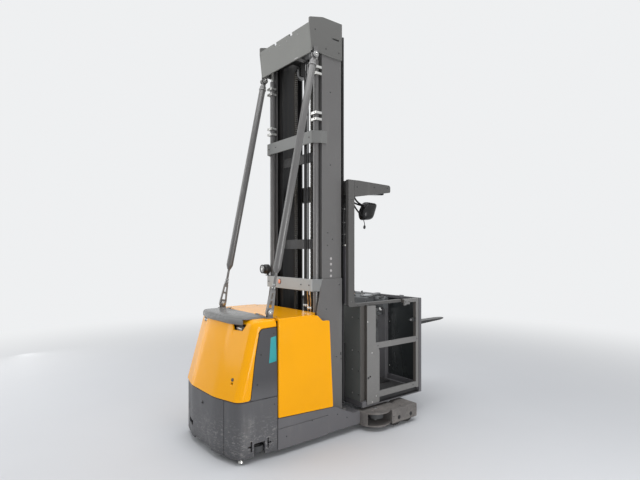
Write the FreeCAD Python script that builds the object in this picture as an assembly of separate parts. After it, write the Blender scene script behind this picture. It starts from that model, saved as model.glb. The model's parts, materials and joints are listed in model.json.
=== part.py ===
"""Order picker truck with a two stage mast, a lifting operator's cab and short forks.

Millimetres. +X is the truck's right side, +Y points forward to the forks, +Z is up.
Stations along Y are counted from the seam between rear skirt and chassis sill, and
save() moves them so that the origin lies under the centre of the outer box.
"""
import FreeCAD
import Part
import math
import os

Vec = FreeCAD.Vector

# Clearances
PANEL_GAP = 5.0
RUN_GAP = 6.0
SLIDE_GAP = 0.4
PIN_GAP = 0.1
SEAT_GAP = 0.3

# Chassis
CHASSIS_WIDTH = 1000.0
SILL_DEPTH = 70.0
SILL_START = 80.0
SILL_END = 970.0
SILL_BOTTOM = 48.0
SILL_STEP_Y = 575.0
SILL_STEP = 10.0
SILL_CREASE_Z = 215.0
SILL_CREASE_END = 589.0
CREASE = 5.0
DECK_Z = 172.0
DECK_SLOPE_START = 670.0
DECK_SLOPE_END = 880.0
PLATE = 12.0
REAR_WALL_Y = 118.0
FRONT_WALL_Y = 524.0
BAY_FLOOR = 268.0
BAY_TOP = 1073.0
BAY_HALF = CHASSIS_WIDTH / 2.0 - SILL_DEPTH

# Load arms in front
ARM_IN = 55.0
ARM_WIDTH = 217.0
ARM_REACH = 345.0
ARM_INNER = CHASSIS_WIDTH / 2.0 - ARM_IN
ARM_OUTER = ARM_INNER + ARM_WIDTH
LOAD_WHEEL_R = 75.0
LOAD_WHEEL_WIDTH = 96.0
LOAD_WHEEL_IN = 86.0
LOAD_WHEEL_X = ARM_OUTER - LOAD_WHEEL_IN
LOAD_WHEEL_PITCH = 162.0
LOAD_WHEEL_STATIONS = {"rear": SILL_END + ARM_REACH, "front": SILL_END + ARM_REACH + LOAD_WHEEL_PITCH}
LOAD_AXLE_R = 12.0
ARM_BEFORE_WHEEL = 93.0
ARM_PAST_WHEEL = 89.0
ARM_BLOCK_START = LOAD_WHEEL_STATIONS["rear"] - ARM_BEFORE_WHEEL
ARM_END = LOAD_WHEEL_STATIONS["front"] + ARM_PAST_WHEEL
ARM_ROUND_BACK = 90.0
ARM_ROUND_Y = ARM_BLOCK_START - ARM_ROUND_BACK
ARM_ROUND_R = 162.0
ARM_BOTTOM = 42.0
ARM_TOP = 168.0
ARM_PLATE = 14.0
GUIDE_ROLLER_R = 75.0
GUIDE_ROLLER_HEIGHT = 46.0
GUIDE_ROLLER_Z = 110.0
GUIDE_ROLLER_OUT = 75.0
GUIDE_ROLLER_FORE = 12.0
GUIDE_ROLLER_X = ARM_INNER + GUIDE_ROLLER_OUT
GUIDE_ROLLER_Y = ARM_ROUND_Y + GUIDE_ROLLER_FORE
GUIDE_PIN_R = 12.0

# Rear body
BODY_IN = 10.0
BODY_HALF = CHASSIS_WIDTH / 2.0 - BODY_IN
BODY_REAR_LOW = 335.0
BODY_CORNER_LOW = 265.0
HOOD_PROUD = 7.0
BODY_FLAT_HALF = 212.0
BODY_TAPER = 15.0
BODY_CORNER_R = 75.0
BODY_BOW_R = 420.0
SKIRT_TOP = 476.0
HOOD_BOTTOM = 484.0
HOOD_LEAN = 150.0
HOOD_TUCK = 12.0
HOOD_WAIST = 1030.0
HOOD_SHOULDER = 1068.0
HOOD_TOP = 1092.0
SEAM_X = 318.0
SEAM_WIDE = 5.0
SEAM_DEEP = 4.0
SHOULDER_IN = 12.0
SHOULDER_STEPS = 4
TOP_IN = 42.0
BODY_WALL = 14.0
STRIP_GAP = 3.0
DRIVE_PLATE_Z = 452.0
DRIVE_PLATE_IN = 60.0
REAR_ROLLER_R = 62.0
REAR_ROLLER_IN = 72.0
REAR_ROLLER_X = BODY_HALF - REAR_ROLLER_IN
REAR_ROLLER_Y = -80.0
REAR_ROLLER_Z = 92.0
REAR_ROLLER_HEIGHT = 46.0
FOOT_R = 22.0
FOOT_CLEAR = 8.0
FOOT_IN = 65.0
FOOT_X = BODY_HALF - FOOT_IN
FOOT_Y = -215.0

# Lid of the rear hood
LID_IN = 106.0
LID_HALF = BODY_HALF - LID_IN
LID_REAR = -209.0
LID_BOW = 46.0
LID_CORNER_R = 46.0
LID_FRONT = 42.0
LID_WALL = 14.0
LID_TOP = HOOD_TOP + LID_WALL
LID_LIP_HEIGHT = 58.0
LID_ROLL = ((58.0, 5.0), (51.0, 0.0), (24.0, 0.0), (10.0, 5.0), (3.0, 14.0), (0.0, 27.0))
LID_LIP_BOTTOM = LID_TOP - LID_LIP_HEIGHT
WELL_IN = 60.0
WELL_HALF = LID_HALF - WELL_IN
WELL_REAR = -120.0
WELL_FRONT = 20.0
HINGE_X = 250.0
HINGE_LONG = 60.0
HINGE_ROOM = 14.0
HINGE_LUG = 8.0
HINGE_R = 6.0
HINGE_PIN_R = 3.5
HINGE_Y = LID_FRONT
HINGE_Z = LID_TOP + 2.0
NOTCH_OUT = LID_HALF - 6.0
NOTCH_WIDE = 150.0
NOTCH_SLANT = 28.0
NOTCH_TOP = LID_LIP_BOTTOM + 6.0
NOTCH_LOW = LID_LIP_BOTTOM - 44.0
KEYHOLE_IN = 118.0
KEYHOLE_RISE = 126.0
KEYHOLE_R = 9.0

# Battery and its doors
BATTERY_IN = 85.0
BATTERY_HALF = CHASSIS_WIDTH / 2.0 - BATTERY_IN
BATTERY_START = 142.0
BATTERY_END = 510.0
BATTERY_TOP = 905.0
DOOR_WALL = 20.0
DOOR_TOP = 1094.0
DOOR_LOW_REAR = 304.0
DOOR_LOW_FRONT = 278.0
DOOR_FLANGE = 55.0
DOOR_END_LOW = 650.0
DOOR_END_HIGH = 609.0
DOOR_NOTCH_Y = 476.0
DOOR_NOTCH_Z = 1033.0
DOOR_PIN_R = 5.0
DOOR_PIN_UP = 26.0
DOOR_PIVOT_X = CHASSIS_WIDTH / 2.0 - DOOR_WALL / 2.0
DOOR_PIVOT_Y = SILL_START + PANEL_GAP + DOOR_WALL / 2.0

# Drive
WHEEL_R = 171.5
WHEEL_WIDTH = 110.0
WHEEL_Y = -92.0
AXLE_R = 20.0
TURNTABLE_R = 150.0
GEARBOX_INNER = 70.0
GEARBOX_OUTER = 150.0
MOTOR_R = 105.0
MOTOR_TOP = 860.0

# Mast
MAST_HALF = 400.0
MAST_REAR = 604.0
MAST_FRONT = 828.0
RAIL_WALL = 12.0
RAIL_FLANGE = 68.0
RAIL_FLANGE_WALL = 18.0
MAST_BASE = 176.0
MAST_TOP = 3690.0
RAIL_DROP = 254.0
RAIL_TOP = MAST_TOP - RAIL_DROP
COVER_WALL = 12.0
COVER_REAR_TOP = 455.0
COVER_REAR_LOW = 481.0
COVER_HEIGHT = 332.0
COVER_BACK_DROP = 83.0
COVER_EAR_DROP = 38.0
COVER_LOW = MAST_TOP - COVER_HEIGHT
COVER_BACK_TOP = MAST_TOP - COVER_BACK_DROP
COVER_EAR_TOP = MAST_TOP - COVER_EAR_DROP
COVER_SLOT_DROP = 168.0
COVER_SLOT_HIGH = 16.0
COVER_SLOT_LONG = 76.0
FOOT_PLATE_TOP = 1386.0
BRACE_REAR = 515.0
BRACE_HALF = 360.0
BRACE_WALL = 12.0
LAMP_RISE = 65.0
UPPER_BRACE_DROP = 1000.0
BRACE_DEEP = 108.0
UPPER_BRACE = MAST_TOP - UPPER_BRACE_DROP
LOWER_BRACE = 1385.0
BRACE_LEVELS = {
    "upper": (UPPER_BRACE - BRACE_DEEP, UPPER_BRACE),
    "lower": (LOWER_BRACE - BRACE_DEEP, LOWER_BRACE),
}
HEAD_DROP = 154.0
HEAD_DEEP = 88.0
HEAD_TOP = MAST_TOP - HEAD_DROP
HEAD_BOTTOM = HEAD_TOP - HEAD_DEEP
ROD_SHOWN = 128.0
CYLINDER_X = 352.0
CYLINDER_Y = 573.0
CYLINDER_R = 26.0
CYLINDER_BORE = 20.0
CYLINDER_TOP = HEAD_BOTTOM - ROD_SHOWN
ROD_R = 18.0
ROD_SPARE = 570.0
LIFT_STAGE = CYLINDER_TOP - ROD_SPARE
CLAMP_DROPS = (500.0, 100.0)
CLAMP_R = 5.0

# Inner mast
INNER_WEB_X = 316.0
INNER_WEB = 12.0
INNER_REAR = 640.0
INNER_FRONT = 884.0
INNER_FLANGE = 16.0
INNER_FLANGE_IN = 270.0
INNER_FLANGE_OUT = 374.0
INNER_BOTTOM = 226.0
INNER_DROP = 90.0
INNER_TOP = MAST_TOP - INNER_DROP
TIE_LEVELS = (330.0, 1650.0, 2450.0)
TIE_HEIGHT = 90.0
PAD_HEIGHT = 200.0
SHEAVE_R = 62.0
SHEAVE_X = 130.0
SHEAVE_Y = 762.0
SHEAVE_DROP = 156.0
SHEAVE_Z = HEAD_TOP - SHEAVE_DROP
SHEAVE_WIDTH = 30.0
CHAIN_WIDTH = 20.0
CHAIN_THICK = 12.0
CHAIN_ANCHOR_Z = 300.0

# Stays
STAY_FOOT_IN = 78.0
STAY_FOOT_RISE = 50.0
STAY_HEAD_OUT = 12.0
STAY_HEAD_DROP = 28.0
STAY_FOOT = Vec(BODY_HALF - STAY_FOOT_IN, 53.0, HOOD_TOP + STAY_FOOT_RISE)
STAY_HEAD = Vec(MAST_HALF + STAY_HEAD_OUT, 508.0, COVER_LOW - STAY_HEAD_DROP)
STAY_TUBE_R = 31.0
STAY_TUBE_START = 360.0
STAY_ROD_R = 11.0
STAY_LINK_END = 190.0
STAY_FOOT_HALF = 20.0
STAY_LINK_WALL = 16.0
STAY_PIN_R = 14.0

# Cab
CAB_HALF = 500.0
CAB_REAR = 1000.0
CAB_FRONT = 1831.0
CAB_BOTTOM = 190.0
CAB_FLOOR = 240.0
CAB_WALL = 22.0
CAB_RAIL_TOP = 1150.0
CAB_RAIL = 28.0
FRONT_POST = 38.0
FRONT_DEPTH = 36.0
PANEL_WALL = 8.0
COLUMN_HALF = 55.0
COLUMN_DEPTH = 34.0
COLUMN_TOP = 1060.0
POST_X = 432.0
POST_THICK = 40.0
POST_REAR = 854.0
POST_DEPTH = 74.0
POST_BEND_R = 34.0
POST_CORNER_R = 26.0
RAIL_END = 1556.0
GUARD_TOP = 2280.0
GUARD_FRONT = 1400.0
GUARD_DEEP = 2132.0
GUARD_SHALLOW = 2198.0
GUARD_SIDE = 36.0
MIRROR_IN = 40.0
MIRROR_FORE = 306.0
MIRROR_DROP = 120.0
GUARD_BARS = 6
GUARD_BAR = 20.0
CONSOLE_FLOOR = 1000.0
CONSOLE_TOP = 1150.0
CONSOLE_END = -430.0
POD_END = 95.0
POD_TOP = 1132.0
CONSOLE_DEPTH = 200.0
KNOB_DROP = 54.0
KNOB_FORM = ((0.0, 0.0), (14.0, 0.0), (14.0, 26.0), (22.0, 32.0), (25.0, 42.0), (24.0, 54.0), (16.0, 64.0),
             (0.0, 68.0))
CARRIAGE_OUT = 262.0
CARRIAGE_IN = 206.0
CARRIAGE_REAR = 668.0
CARRIAGE_TOP = 750.0
CARRIAGE_BAR = 120.0
ANCHOR_SPARE = 8.0
ANCHOR_HIGH = 60.0
ANCHOR_TOP = SHEAVE_Z - SHEAVE_R - LIFT_STAGE - ANCHOR_SPARE

# Side gates
GATE_WALL = 36.0
GATE_START = 1058.0
GATE_END = 1786.0
FLOOR_EDGE = 10.0
FLOOR_IN = 24.0
GATE_BOTTOM = CAB_BOTTOM + FLOOR_EDGE + 4.0
GATE_LOW = 252.0
GATE_FLANGE = 8.0
GATE_POST_LOW = 1222.0
GATE_POST_HIGH = 1172.0
GATE_POST_TOP = 1120.0
GATE_STILE = 42.0
GATE_BAR = 54.0
GATE_MID = (712.0, 766.0)
GATE_RETURN = 222.0
GATE_PIN_R = 5.0
GATE_PIN_DEEP = 30.0
GATE_PIVOT_X = CAB_HALF - GATE_WALL / 4.0
GATE_PIVOT_Y = GATE_START + GATE_WALL / 4.0

# Forks on their own short mast
FORK_MAST_HALF = 200.0
FORK_MAST_WALL = 15.0
FORK_MAST_DEPTH = 70.0
FORK_MAST_LIP = 50.0
FORK_CARRIAGE_WALL = 25.0
FORK_CARRIAGE_HALF = 290.0
FORK_CARRIAGE_HEIGHT = 270.0
FORK_X = 240.0
FORK_WIDTH = 100.0
FORK_THICK = 40.0
FORK_TIP = 2513.0
FORK_TOP_Z = 862.0
FORK_SHANK_TOP = 1130.0
FORK_TIP_THICK = 12.0

BOX_REAR = -(BODY_REAR_LOW + HOOD_PROUD)
CENTRE_Y = (BOX_REAR + FORK_TIP) / 2.0


def block(x0, x1, y0, y1, z0, z1):
    """Box between two corners."""
    return Part.makeBox(x1 - x0, y1 - y0, z1 - z0, Vec(x0, y0, z0))


def rod(centre, axis, radius, length):
    """Cylinder centred on a point along an axis."""
    direction = Vec(*axis)
    start = Vec(*centre) - direction * (length / 2.0)
    return Part.makeCylinder(radius, length, start, direction)


def loop_edges(points):
    """Closed outline of (a, b) or (a, b, corner radius) as lines and arcs in a plane."""
    corners = [(Vec(p[0], p[1], 0), p[2] if len(p) > 2 else 0.0) for p in points]
    count = len(corners)
    spans = []
    for i, (here, radius) in enumerate(corners):
        if radius <= 0.0:
            spans.append((here, None, here))
            continue
        before = (corners[i - 1][0] - here).normalize()
        after = (corners[(i + 1) % count][0] - here).normalize()
        half = before.getAngle(after) / 2.0
        reach = radius / math.tan(half)
        middle = (before + after).normalize() * (radius / math.sin(half) - radius)
        spans.append((here + before * reach, here + middle, here + after * reach))
    edges = []
    for i, (start, middle, end) in enumerate(spans):
        if middle is not None:
            edges.append(Part.Arc(start, middle, end).toShape())
        following = spans[(i + 1) % count][0]
        if end.distanceToPoint(following) > 1e-6:
            edges.append(Part.LineSegment(end, following).toShape())
    return edges


def outline_wire(points, level):
    """Closed wire of an outline of (x, y) points at a level."""
    return moved(Part.Wire(Part.__sortEdges__(loop_edges(points))), (0, 0, level))


def moved(shape, offset):
    """Copy of a shape, moved by an offset."""
    result = shape.copy()
    result.translate(Vec(*offset))
    return result


def plate_x(points, x0, x1):
    """Outline of (y, z) points as a plate from x0 to x1."""
    turned = Part.Face(Part.Wire(Part.__sortEdges__(loop_edges(points))))
    turned.rotate(Vec(0, 0, 0), Vec(1, 1, 1), 120)
    return moved(turned, (x0, 0, 0)).extrude(Vec(x1 - x0, 0, 0))


def plate_y(points, y0, y1):
    """Outline of (x, z) points as a plate from y0 to y1."""
    turned = Part.Face(Part.Wire(Part.__sortEdges__(loop_edges(points))))
    turned.rotate(Vec(0, 0, 0), Vec(1, 0, 0), 90)
    return moved(turned, (0, y0, 0)).extrude(Vec(0, y1 - y0, 0))


def plate_z(points, z0, z1):
    """Outline of (x, y) points as a plate from z0 to z1."""
    face = Part.Face(Part.Wire(Part.__sortEdges__(loop_edges(points))))
    return moved(face, (0, 0, z0)).extrude(Vec(0, 0, z1 - z0))


def turned(profile, centre, axis):
    """Solid of revolution of (radius, height) points about an axis through a point."""
    points = [Vec(radius, 0, height) for radius, height in profile]
    solid = Part.Face(Part.makePolygon(points + points[:1])).revolve(Vec(0, 0, 0), Vec(0, 0, 1), 360)
    return placed(solid, FreeCAD.Placement(Vec(*centre), FreeCAD.Rotation(Vec(0, 0, 1), Vec(*axis))))


def mirrored(shape):
    """The same piece on the other side of the truck."""
    return shape.mirror(Vec(0, 0, 0), Vec(1, 0, 0))


def both(shape):
    """A piece and its twin on the other side."""
    return [shape, mirrored(shape)]


def fused(*shapes):
    """One solid out of pieces that join."""
    result = shapes[0]
    for other in shapes[1:]:
        result = result.fuse(other)
    return result.removeSplitter()


def save(node, solids):
    """Write one node with its stations moved to the box centre."""
    flat = []
    for item in solids if isinstance(solids, list) else [solids]:
        flat.extend(item.Solids)
    shape = Part.makeCompound([moved(solid, (0, -CENTRE_Y, 0)) for solid in flat])
    if not shape.isValid():
        print("invalid", node)
    shape.exportStep("parts/%s.step" % node)


# Rear body: skirt, hood and lid share one plan outline


def body_plan(inset, lean, tuck, proud=0.0):
    """Plan of the rear body: straight flanks, round corners and a bowed rear."""
    half = BODY_HALF - inset - tuck
    corner_x = BODY_HALF - BODY_TAPER - inset - tuck + proud
    corner_y = -(BODY_CORNER_LOW + proud) + lean + inset
    rear_y = -(BODY_REAR_LOW + proud) + lean + inset
    radius = BODY_CORNER_R - inset if inset < BODY_CORNER_R - 20.0 else 20.0
    return [
        (half, SILL_START),
        (corner_x, corner_y, radius),
        (BODY_FLAT_HALF, rear_y, BODY_BOW_R),
        (-BODY_FLAT_HALF, rear_y, BODY_BOW_R),
        (-corner_x, corner_y, radius),
        (-half, SILL_START),
    ]


def hood_form(inset):
    """Leaning form of the hood with its rounded shoulder, set in by a wall."""
    top = HOOD_TOP - inset
    levels = [(HOOD_BOTTOM, 0.0, 0.0, 0.0), (HOOD_WAIST, HOOD_LEAN, HOOD_TUCK, 0.0)]
    for step in range(1, SHOULDER_STEPS + 1):
        turn = math.pi / 2.0 * step / SHOULDER_STEPS
        fall = 1.0 - math.cos(turn)
        levels.append((HOOD_WAIST + (top - HOOD_WAIST) * math.sin(turn), HOOD_LEAN + SHOULDER_IN * fall,
                       HOOD_TUCK, TOP_IN * fall))
    wires = []
    for z, lean, tuck, rounding in levels:
        plan = body_plan(inset + rounding, lean, tuck, HOOD_PROUD)
        wires.append(outline_wire(plan, z))
    return Part.makeLoft(wires, True, True)


def strip_outline(gap):
    """Side view of the hood: leaning strip that turns into the bar under the top."""
    return [
        (BOX_REAR - 50.0, HOOD_BOTTOM - gap),
        (-162.0 + gap, HOOD_BOTTOM - gap, 24.0),
        (-118.0 + gap, 800.0),
        (-72.0 + gap, HOOD_WAIST - 6.0 - gap, 40.0),
        (SILL_START, HOOD_WAIST - gap),
        (SILL_START, HOOD_TOP + 10.0),
        (BOX_REAR - 50.0, HOOD_TOP + 10.0),
    ]


def hood_shell():
    """Whole wall of the upper rear body, before it is split into hood and flank."""
    inner = hood_form(BODY_WALL)
    slot = moved(inner, (0, PANEL_GAP, 0)).fuse(moved(inner, (0, 40.0, 0)))
    return hood_form(0.0).cut(inner).cut(slot)


def make_rear_hood(shell):
    """Yellow hood with the well under its lid and the finger notches at the rear."""
    hood = shell.common(plate_x(strip_outline(0.0), -CAB_HALF - 50.0, CAB_HALF + 50.0))
    well = block(-WELL_HALF, WELL_HALF, WELL_REAR, WELL_FRONT, HOOD_SHOULDER - 40.0, HOOD_TOP + 20.0)
    tongue = block(-LID_HALF - 4.0, LID_HALF + 4.0, LID_FRONT, SILL_START + 1.0,
                   HOOD_SHOULDER - 10.0, HOOD_TOP + 20.0)
    hood = hood.cut(well).cut(tongue)
    notch = plate_y([
        (NOTCH_OUT - NOTCH_WIDE, NOTCH_TOP),
        (NOTCH_OUT - NOTCH_WIDE + NOTCH_SLANT, NOTCH_LOW, 8.0),
        (NOTCH_OUT - NOTCH_SLANT, NOTCH_LOW, 8.0),
        (NOTCH_OUT, NOTCH_TOP),
    ], BOX_REAR, WELL_REAR)
    keyhole = rod((BODY_HALF - KEYHOLE_IN, BOX_REAR / 2.0, HOOD_BOTTOM + KEYHOLE_RISE), (0, 1, 0), KEYHOLE_R,
                  -BOX_REAR)
    for cut in (notch, mirrored(notch), keyhole):
        hood = hood.cut(cut)
    return hood


def make_rear_skirt(shell):
    """Grey skirt with its side openings and the grey flanks behind the hood strip."""
    outer = plate_z(body_plan(0.0, 0.0, 0.0), SILL_BOTTOM, SKIRT_TOP)
    inner = plate_z(body_plan(BODY_WALL, 0.0, 0.0), SILL_BOTTOM - 1.0, SKIRT_TOP + 1.0)
    opening = moved(inner, (0, 40.0, 0))
    ring = outer.cut(inner).cut(opening)
    lip_outer = plate_z(body_plan(BODY_WALL - 6.0, 0.0, 0.0), SKIRT_TOP - 20.0, HOOD_BOTTOM)
    lip_inner = plate_z(body_plan(BODY_WALL, 0.0, 0.0), SKIRT_TOP - 21.0, HOOD_BOTTOM + 1.0)
    lip = lip_outer.cut(lip_inner).cut(moved(lip_inner, (0, 40.0, 0)))
    flank_box = block(-CAB_HALF, CAB_HALF, BOX_REAR, SILL_START, HOOD_BOTTOM - 1.0, HOOD_TOP + 5.0)
    flank = shell.cut(plate_x(strip_outline(STRIP_GAP), -CAB_HALF - 50.0, CAB_HALF + 50.0))
    flank = flank.common(flank_box)
    post = block(BODY_HALF - BODY_WALL - 6.0, BODY_HALF - BODY_WALL + 2.0, -140.0, SILL_START,
                 DRIVE_PLATE_Z, HOOD_BOTTOM + 30.0)
    skirt = ring.fuse(lip).fuse(flank).fuse(post).fuse(mirrored(post)).removeSplitter()
    window = block(BODY_HALF - 60.0, BODY_HALF + 10.0, -128.0, -34.0, SILL_BOTTOM - 5.0, 146.0)
    coupling = block(-340.0, -200.0, BOX_REAR - 5.0, -200.0, 132.0, 176.0)
    pocket = block(-352.0, -336.0, BOX_REAR - 5.0, -200.0, 245.0, 292.0)
    key_slots = []
    for y, side in ((-152.0, -1), (-4.0, 1)):
        key_slots.append(block(BODY_HALF - 40.0, BODY_HALF + 10.0, y - 6.0, y + 6.0, 88.0, 168.0))
        reach = sorted((y, y + 26.0 * side))
        key_slots.append(block(BODY_HALF - 40.0, BODY_HALF + 10.0, reach[0], reach[1], 122.0, 134.0))
    seam = block(SEAM_X, SEAM_X + SEAM_WIDE, BOX_REAR - 5.0, -BODY_CORNER_LOW + 60.0,
                 SILL_BOTTOM - 5.0, SKIRT_TOP + 1.0)
    seam = seam.cut(plate_z(body_plan(SEAM_DEEP, 0.0, 0.0), SILL_BOTTOM - 6.0, SKIRT_TOP + 2.0))
    recess = block(-SEAM_X / 2.0, SEAM_X / 2.0, BOX_REAR - 5.0, -200.0,
                   SILL_BOTTOM - 5.0, SILL_BOTTOM + 18.0)
    cuts = [window, mirrored(window), coupling, pocket, seam, mirrored(seam), recess]
    for slot in key_slots:
        cuts.extend(both(slot))
    for cut in cuts:
        skirt = skirt.cut(cut)
    return skirt


def lid_plan(inset):
    """Plan of the lid, bowed at the rear as the hood is, set in from its edge."""
    half = LID_HALF - inset
    rear = LID_REAR + inset
    return [
        (half, LID_FRONT, 10.0),
        (half, rear + LID_BOW, LID_CORNER_R - inset),
        (BODY_FLAT_HALF, rear, BODY_BOW_R),
        (-BODY_FLAT_HALF, rear, BODY_BOW_R),
        (-half, rear + LID_BOW, LID_CORNER_R - inset),
        (-half, LID_FRONT, 10.0),
    ]


def make_lid():
    """Grey lid rolled over the rear shoulder of the hood, with its hinge barrels in front."""
    levels = [outline_wire(lid_plan(inset), LID_TOP - drop) for drop, inset in LID_ROLL]
    outer = Part.makeLoft(levels, True, True)
    inner = plate_z(lid_plan(LID_WALL), LID_LIP_BOTTOM - 1.0, HOOD_TOP)
    under = block(-LID_HALF, LID_HALF, LID_REAR + LID_BOW, LID_FRONT + 1.0,
                  LID_LIP_BOTTOM - 1.0, HOOD_TOP + SEAT_GAP)
    lid = outer.cut(inner).cut(under).cut(hood_form(-SEAT_GAP))
    lid = max(lid.Solids, key=lambda solid: solid.Volume)
    for x in (-HINGE_X, HINGE_X):
        for side in (-1, 1):
            gap_x = x + side * (HINGE_LONG / 2.0 + HINGE_ROOM / 2.0)
            lid = lid.cut(block(gap_x - HINGE_ROOM / 2.0, gap_x + HINGE_ROOM / 2.0, HINGE_Y - 2.0 * HINGE_R,
                                LID_FRONT + 1.0, HOOD_TOP, LID_TOP + 1.0))
        barrel = rod((x, HINGE_Y, HINGE_Z), (1, 0, 0), HINGE_R, HINGE_LONG)
        bore = rod((x, HINGE_Y, HINGE_Z), (1, 0, 0), HINGE_PIN_R + PIN_GAP, HINGE_LONG + 2.0)
        lid = lid.fuse(barrel).cut(bore)
    return lid.removeSplitter()


# Chassis


def make_chassis():
    """Sills, walls of the battery bay, bottom plate, drive plate and mast deck."""
    half = CHASSIS_WIDTH / 2.0
    sill = plate_x([
        (SILL_START, SILL_BOTTOM),
        (SILL_STEP_Y, SILL_BOTTOM),
        (SILL_STEP_Y + SILL_STEP, SILL_BOTTOM + SILL_STEP),
        (SILL_END, SILL_BOTTOM + SILL_STEP),
        (SILL_END, DECK_Z),
        (DECK_SLOPE_END, DECK_Z, 60.0),
        (DECK_SLOPE_START, DOOR_LOW_FRONT - PANEL_GAP, 60.0),
        (SILL_START, DOOR_LOW_REAR - PANEL_GAP),
    ], half - SILL_DEPTH, half)
    crease = block(half - CREASE, half + 1.0, SILL_START - 1.0, SILL_CREASE_END,
                   SILL_CREASE_Z - CREASE / 2.0, SILL_CREASE_Z + CREASE / 2.0)
    sill = sill.cut(crease)
    inner = half - SILL_DEPTH
    floor = block(-inner, inner, REAR_WALL_Y, SILL_END, SILL_BOTTOM + SILL_STEP,
                  SILL_BOTTOM + SILL_STEP + PLATE)
    rear_wall = block(-BAY_HALF, BAY_HALF, REAR_WALL_Y, REAR_WALL_Y + PLATE,
                      SILL_BOTTOM + SILL_STEP, BAY_TOP)
    front_wall = block(-MAST_HALF + RAIL_WALL, MAST_HALF - RAIL_WALL, FRONT_WALL_Y,
                       FRONT_WALL_Y + PLATE, SILL_BOTTOM + SILL_STEP, BAY_TOP)
    bay_floor = block(-inner, inner, REAR_WALL_Y, FRONT_WALL_Y, BAY_FLOOR - PLATE, BAY_FLOOR)
    deck = block(-inner, inner, MAST_REAR - 40.0, SILL_END, DECK_Z - PLATE, DECK_Z)
    drive_plate = plate_z(body_plan(BODY_WALL + SEAT_GAP, 0.0, 0.0), DRIVE_PLATE_Z - PLATE, DRIVE_PLATE_Z)
    link = BODY_HALF - DRIVE_PLATE_IN
    bridge = block(-link, link, SILL_START - 1.0, REAR_WALL_Y, DRIVE_PLATE_Z - PLATE, DRIVE_PLATE_Z)
    drive_plate = drive_plate.fuse(bridge)
    drive_hole = rod((0, WHEEL_Y, DRIVE_PLATE_Z), (0, 0, 1), TURNTABLE_R - 20.0, 100.0)
    drive_plate = drive_plate.cut(drive_hole)
    pin = Part.makeCylinder(DOOR_PIN_R, 2.0 * DOOR_PIN_UP,
                            Vec(DOOR_PIVOT_X, DOOR_PIVOT_Y, DOOR_LOW_REAR - DOOR_PIN_UP))
    walls = (floor, rear_wall, front_wall, bay_floor, deck, drive_plate)
    return fused(sill, mirrored(sill), *walls, *both(pin))


def make_load_arm():
    """Round nose with two guide plates and the block over the two load wheels."""
    centre = (CHASSIS_WIDTH / 2.0, ARM_ROUND_Y)
    disc = rod((centre[0], centre[1], (ARM_TOP + ARM_BOTTOM) / 2.0), (0, 0, 1), ARM_ROUND_R,
               ARM_TOP - ARM_BOTTOM)
    keep = block(ARM_INNER, ARM_OUTER, SILL_END, ARM_BLOCK_START, ARM_BOTTOM, ARM_TOP)
    tail = block(ARM_INNER, CHASSIS_WIDTH / 2.0, SILL_END, ARM_BLOCK_START, ARM_BOTTOM, ARM_TOP)
    nose = disc.common(keep).fuse(tail)
    gap = block(ARM_INNER - 1.0, ARM_OUTER + 1.0, SILL_END + 22.0, ARM_BLOCK_START + 1.0,
                ARM_BOTTOM + ARM_PLATE, ARM_TOP - ARM_PLATE)
    nose = nose.cut(gap)
    body = plate_x([
        (ARM_BLOCK_START, ARM_BOTTOM),
        (ARM_END, ARM_BOTTOM, 12.0),
        (ARM_END, ARM_TOP, 14.0),
        (LOAD_WHEEL_STATIONS["front"] - 30.0, ARM_TOP + 7.0, 40.0),
        ((LOAD_WHEEL_STATIONS["front"] + LOAD_WHEEL_STATIONS["rear"]) / 2.0, ARM_TOP - 10.0, 24.0),
        (LOAD_WHEEL_STATIONS["rear"] + 20.0, ARM_TOP + 5.0, 40.0),
        (ARM_BLOCK_START, ARM_TOP),
    ], ARM_INNER, ARM_OUTER)
    pocket_half = LOAD_WHEEL_WIDTH / 2.0 + PANEL_GAP
    rear_edge = LOAD_WHEEL_STATIONS["rear"] - LOAD_WHEEL_R - PANEL_GAP
    pocket = block(LOAD_WHEEL_X - pocket_half, LOAD_WHEEL_X + pocket_half, rear_edge, ARM_END + 1.0,
                   ARM_BOTTOM - 1.0, 2.0 * LOAD_WHEEL_R + PANEL_GAP)
    body = body.cut(pocket)
    for station in LOAD_WHEEL_STATIONS.values():
        body = body.cut(rod((LOAD_WHEEL_X, station, LOAD_WHEEL_R), (1, 0, 0), LOAD_AXLE_R, 400.0))
    return fused(nose, body)


def make_load_axles():
    """Four load wheel axles and the pins of the front guide rollers."""
    solids = []
    length = 2.0 * (ARM_OUTER - 6.0 - LOAD_WHEEL_X)
    for station in LOAD_WHEEL_STATIONS.values():
        solids.extend(both(rod((LOAD_WHEEL_X, station, LOAD_WHEEL_R), (1, 0, 0), LOAD_AXLE_R, length)))
    height = ARM_TOP - ARM_BOTTOM - 2.0 * ARM_PLATE
    solids.extend(both(rod((GUIDE_ROLLER_X, GUIDE_ROLLER_Y, (ARM_TOP + ARM_BOTTOM) / 2.0), (0, 0, 1),
                           GUIDE_PIN_R, height)))
    return solids


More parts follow.
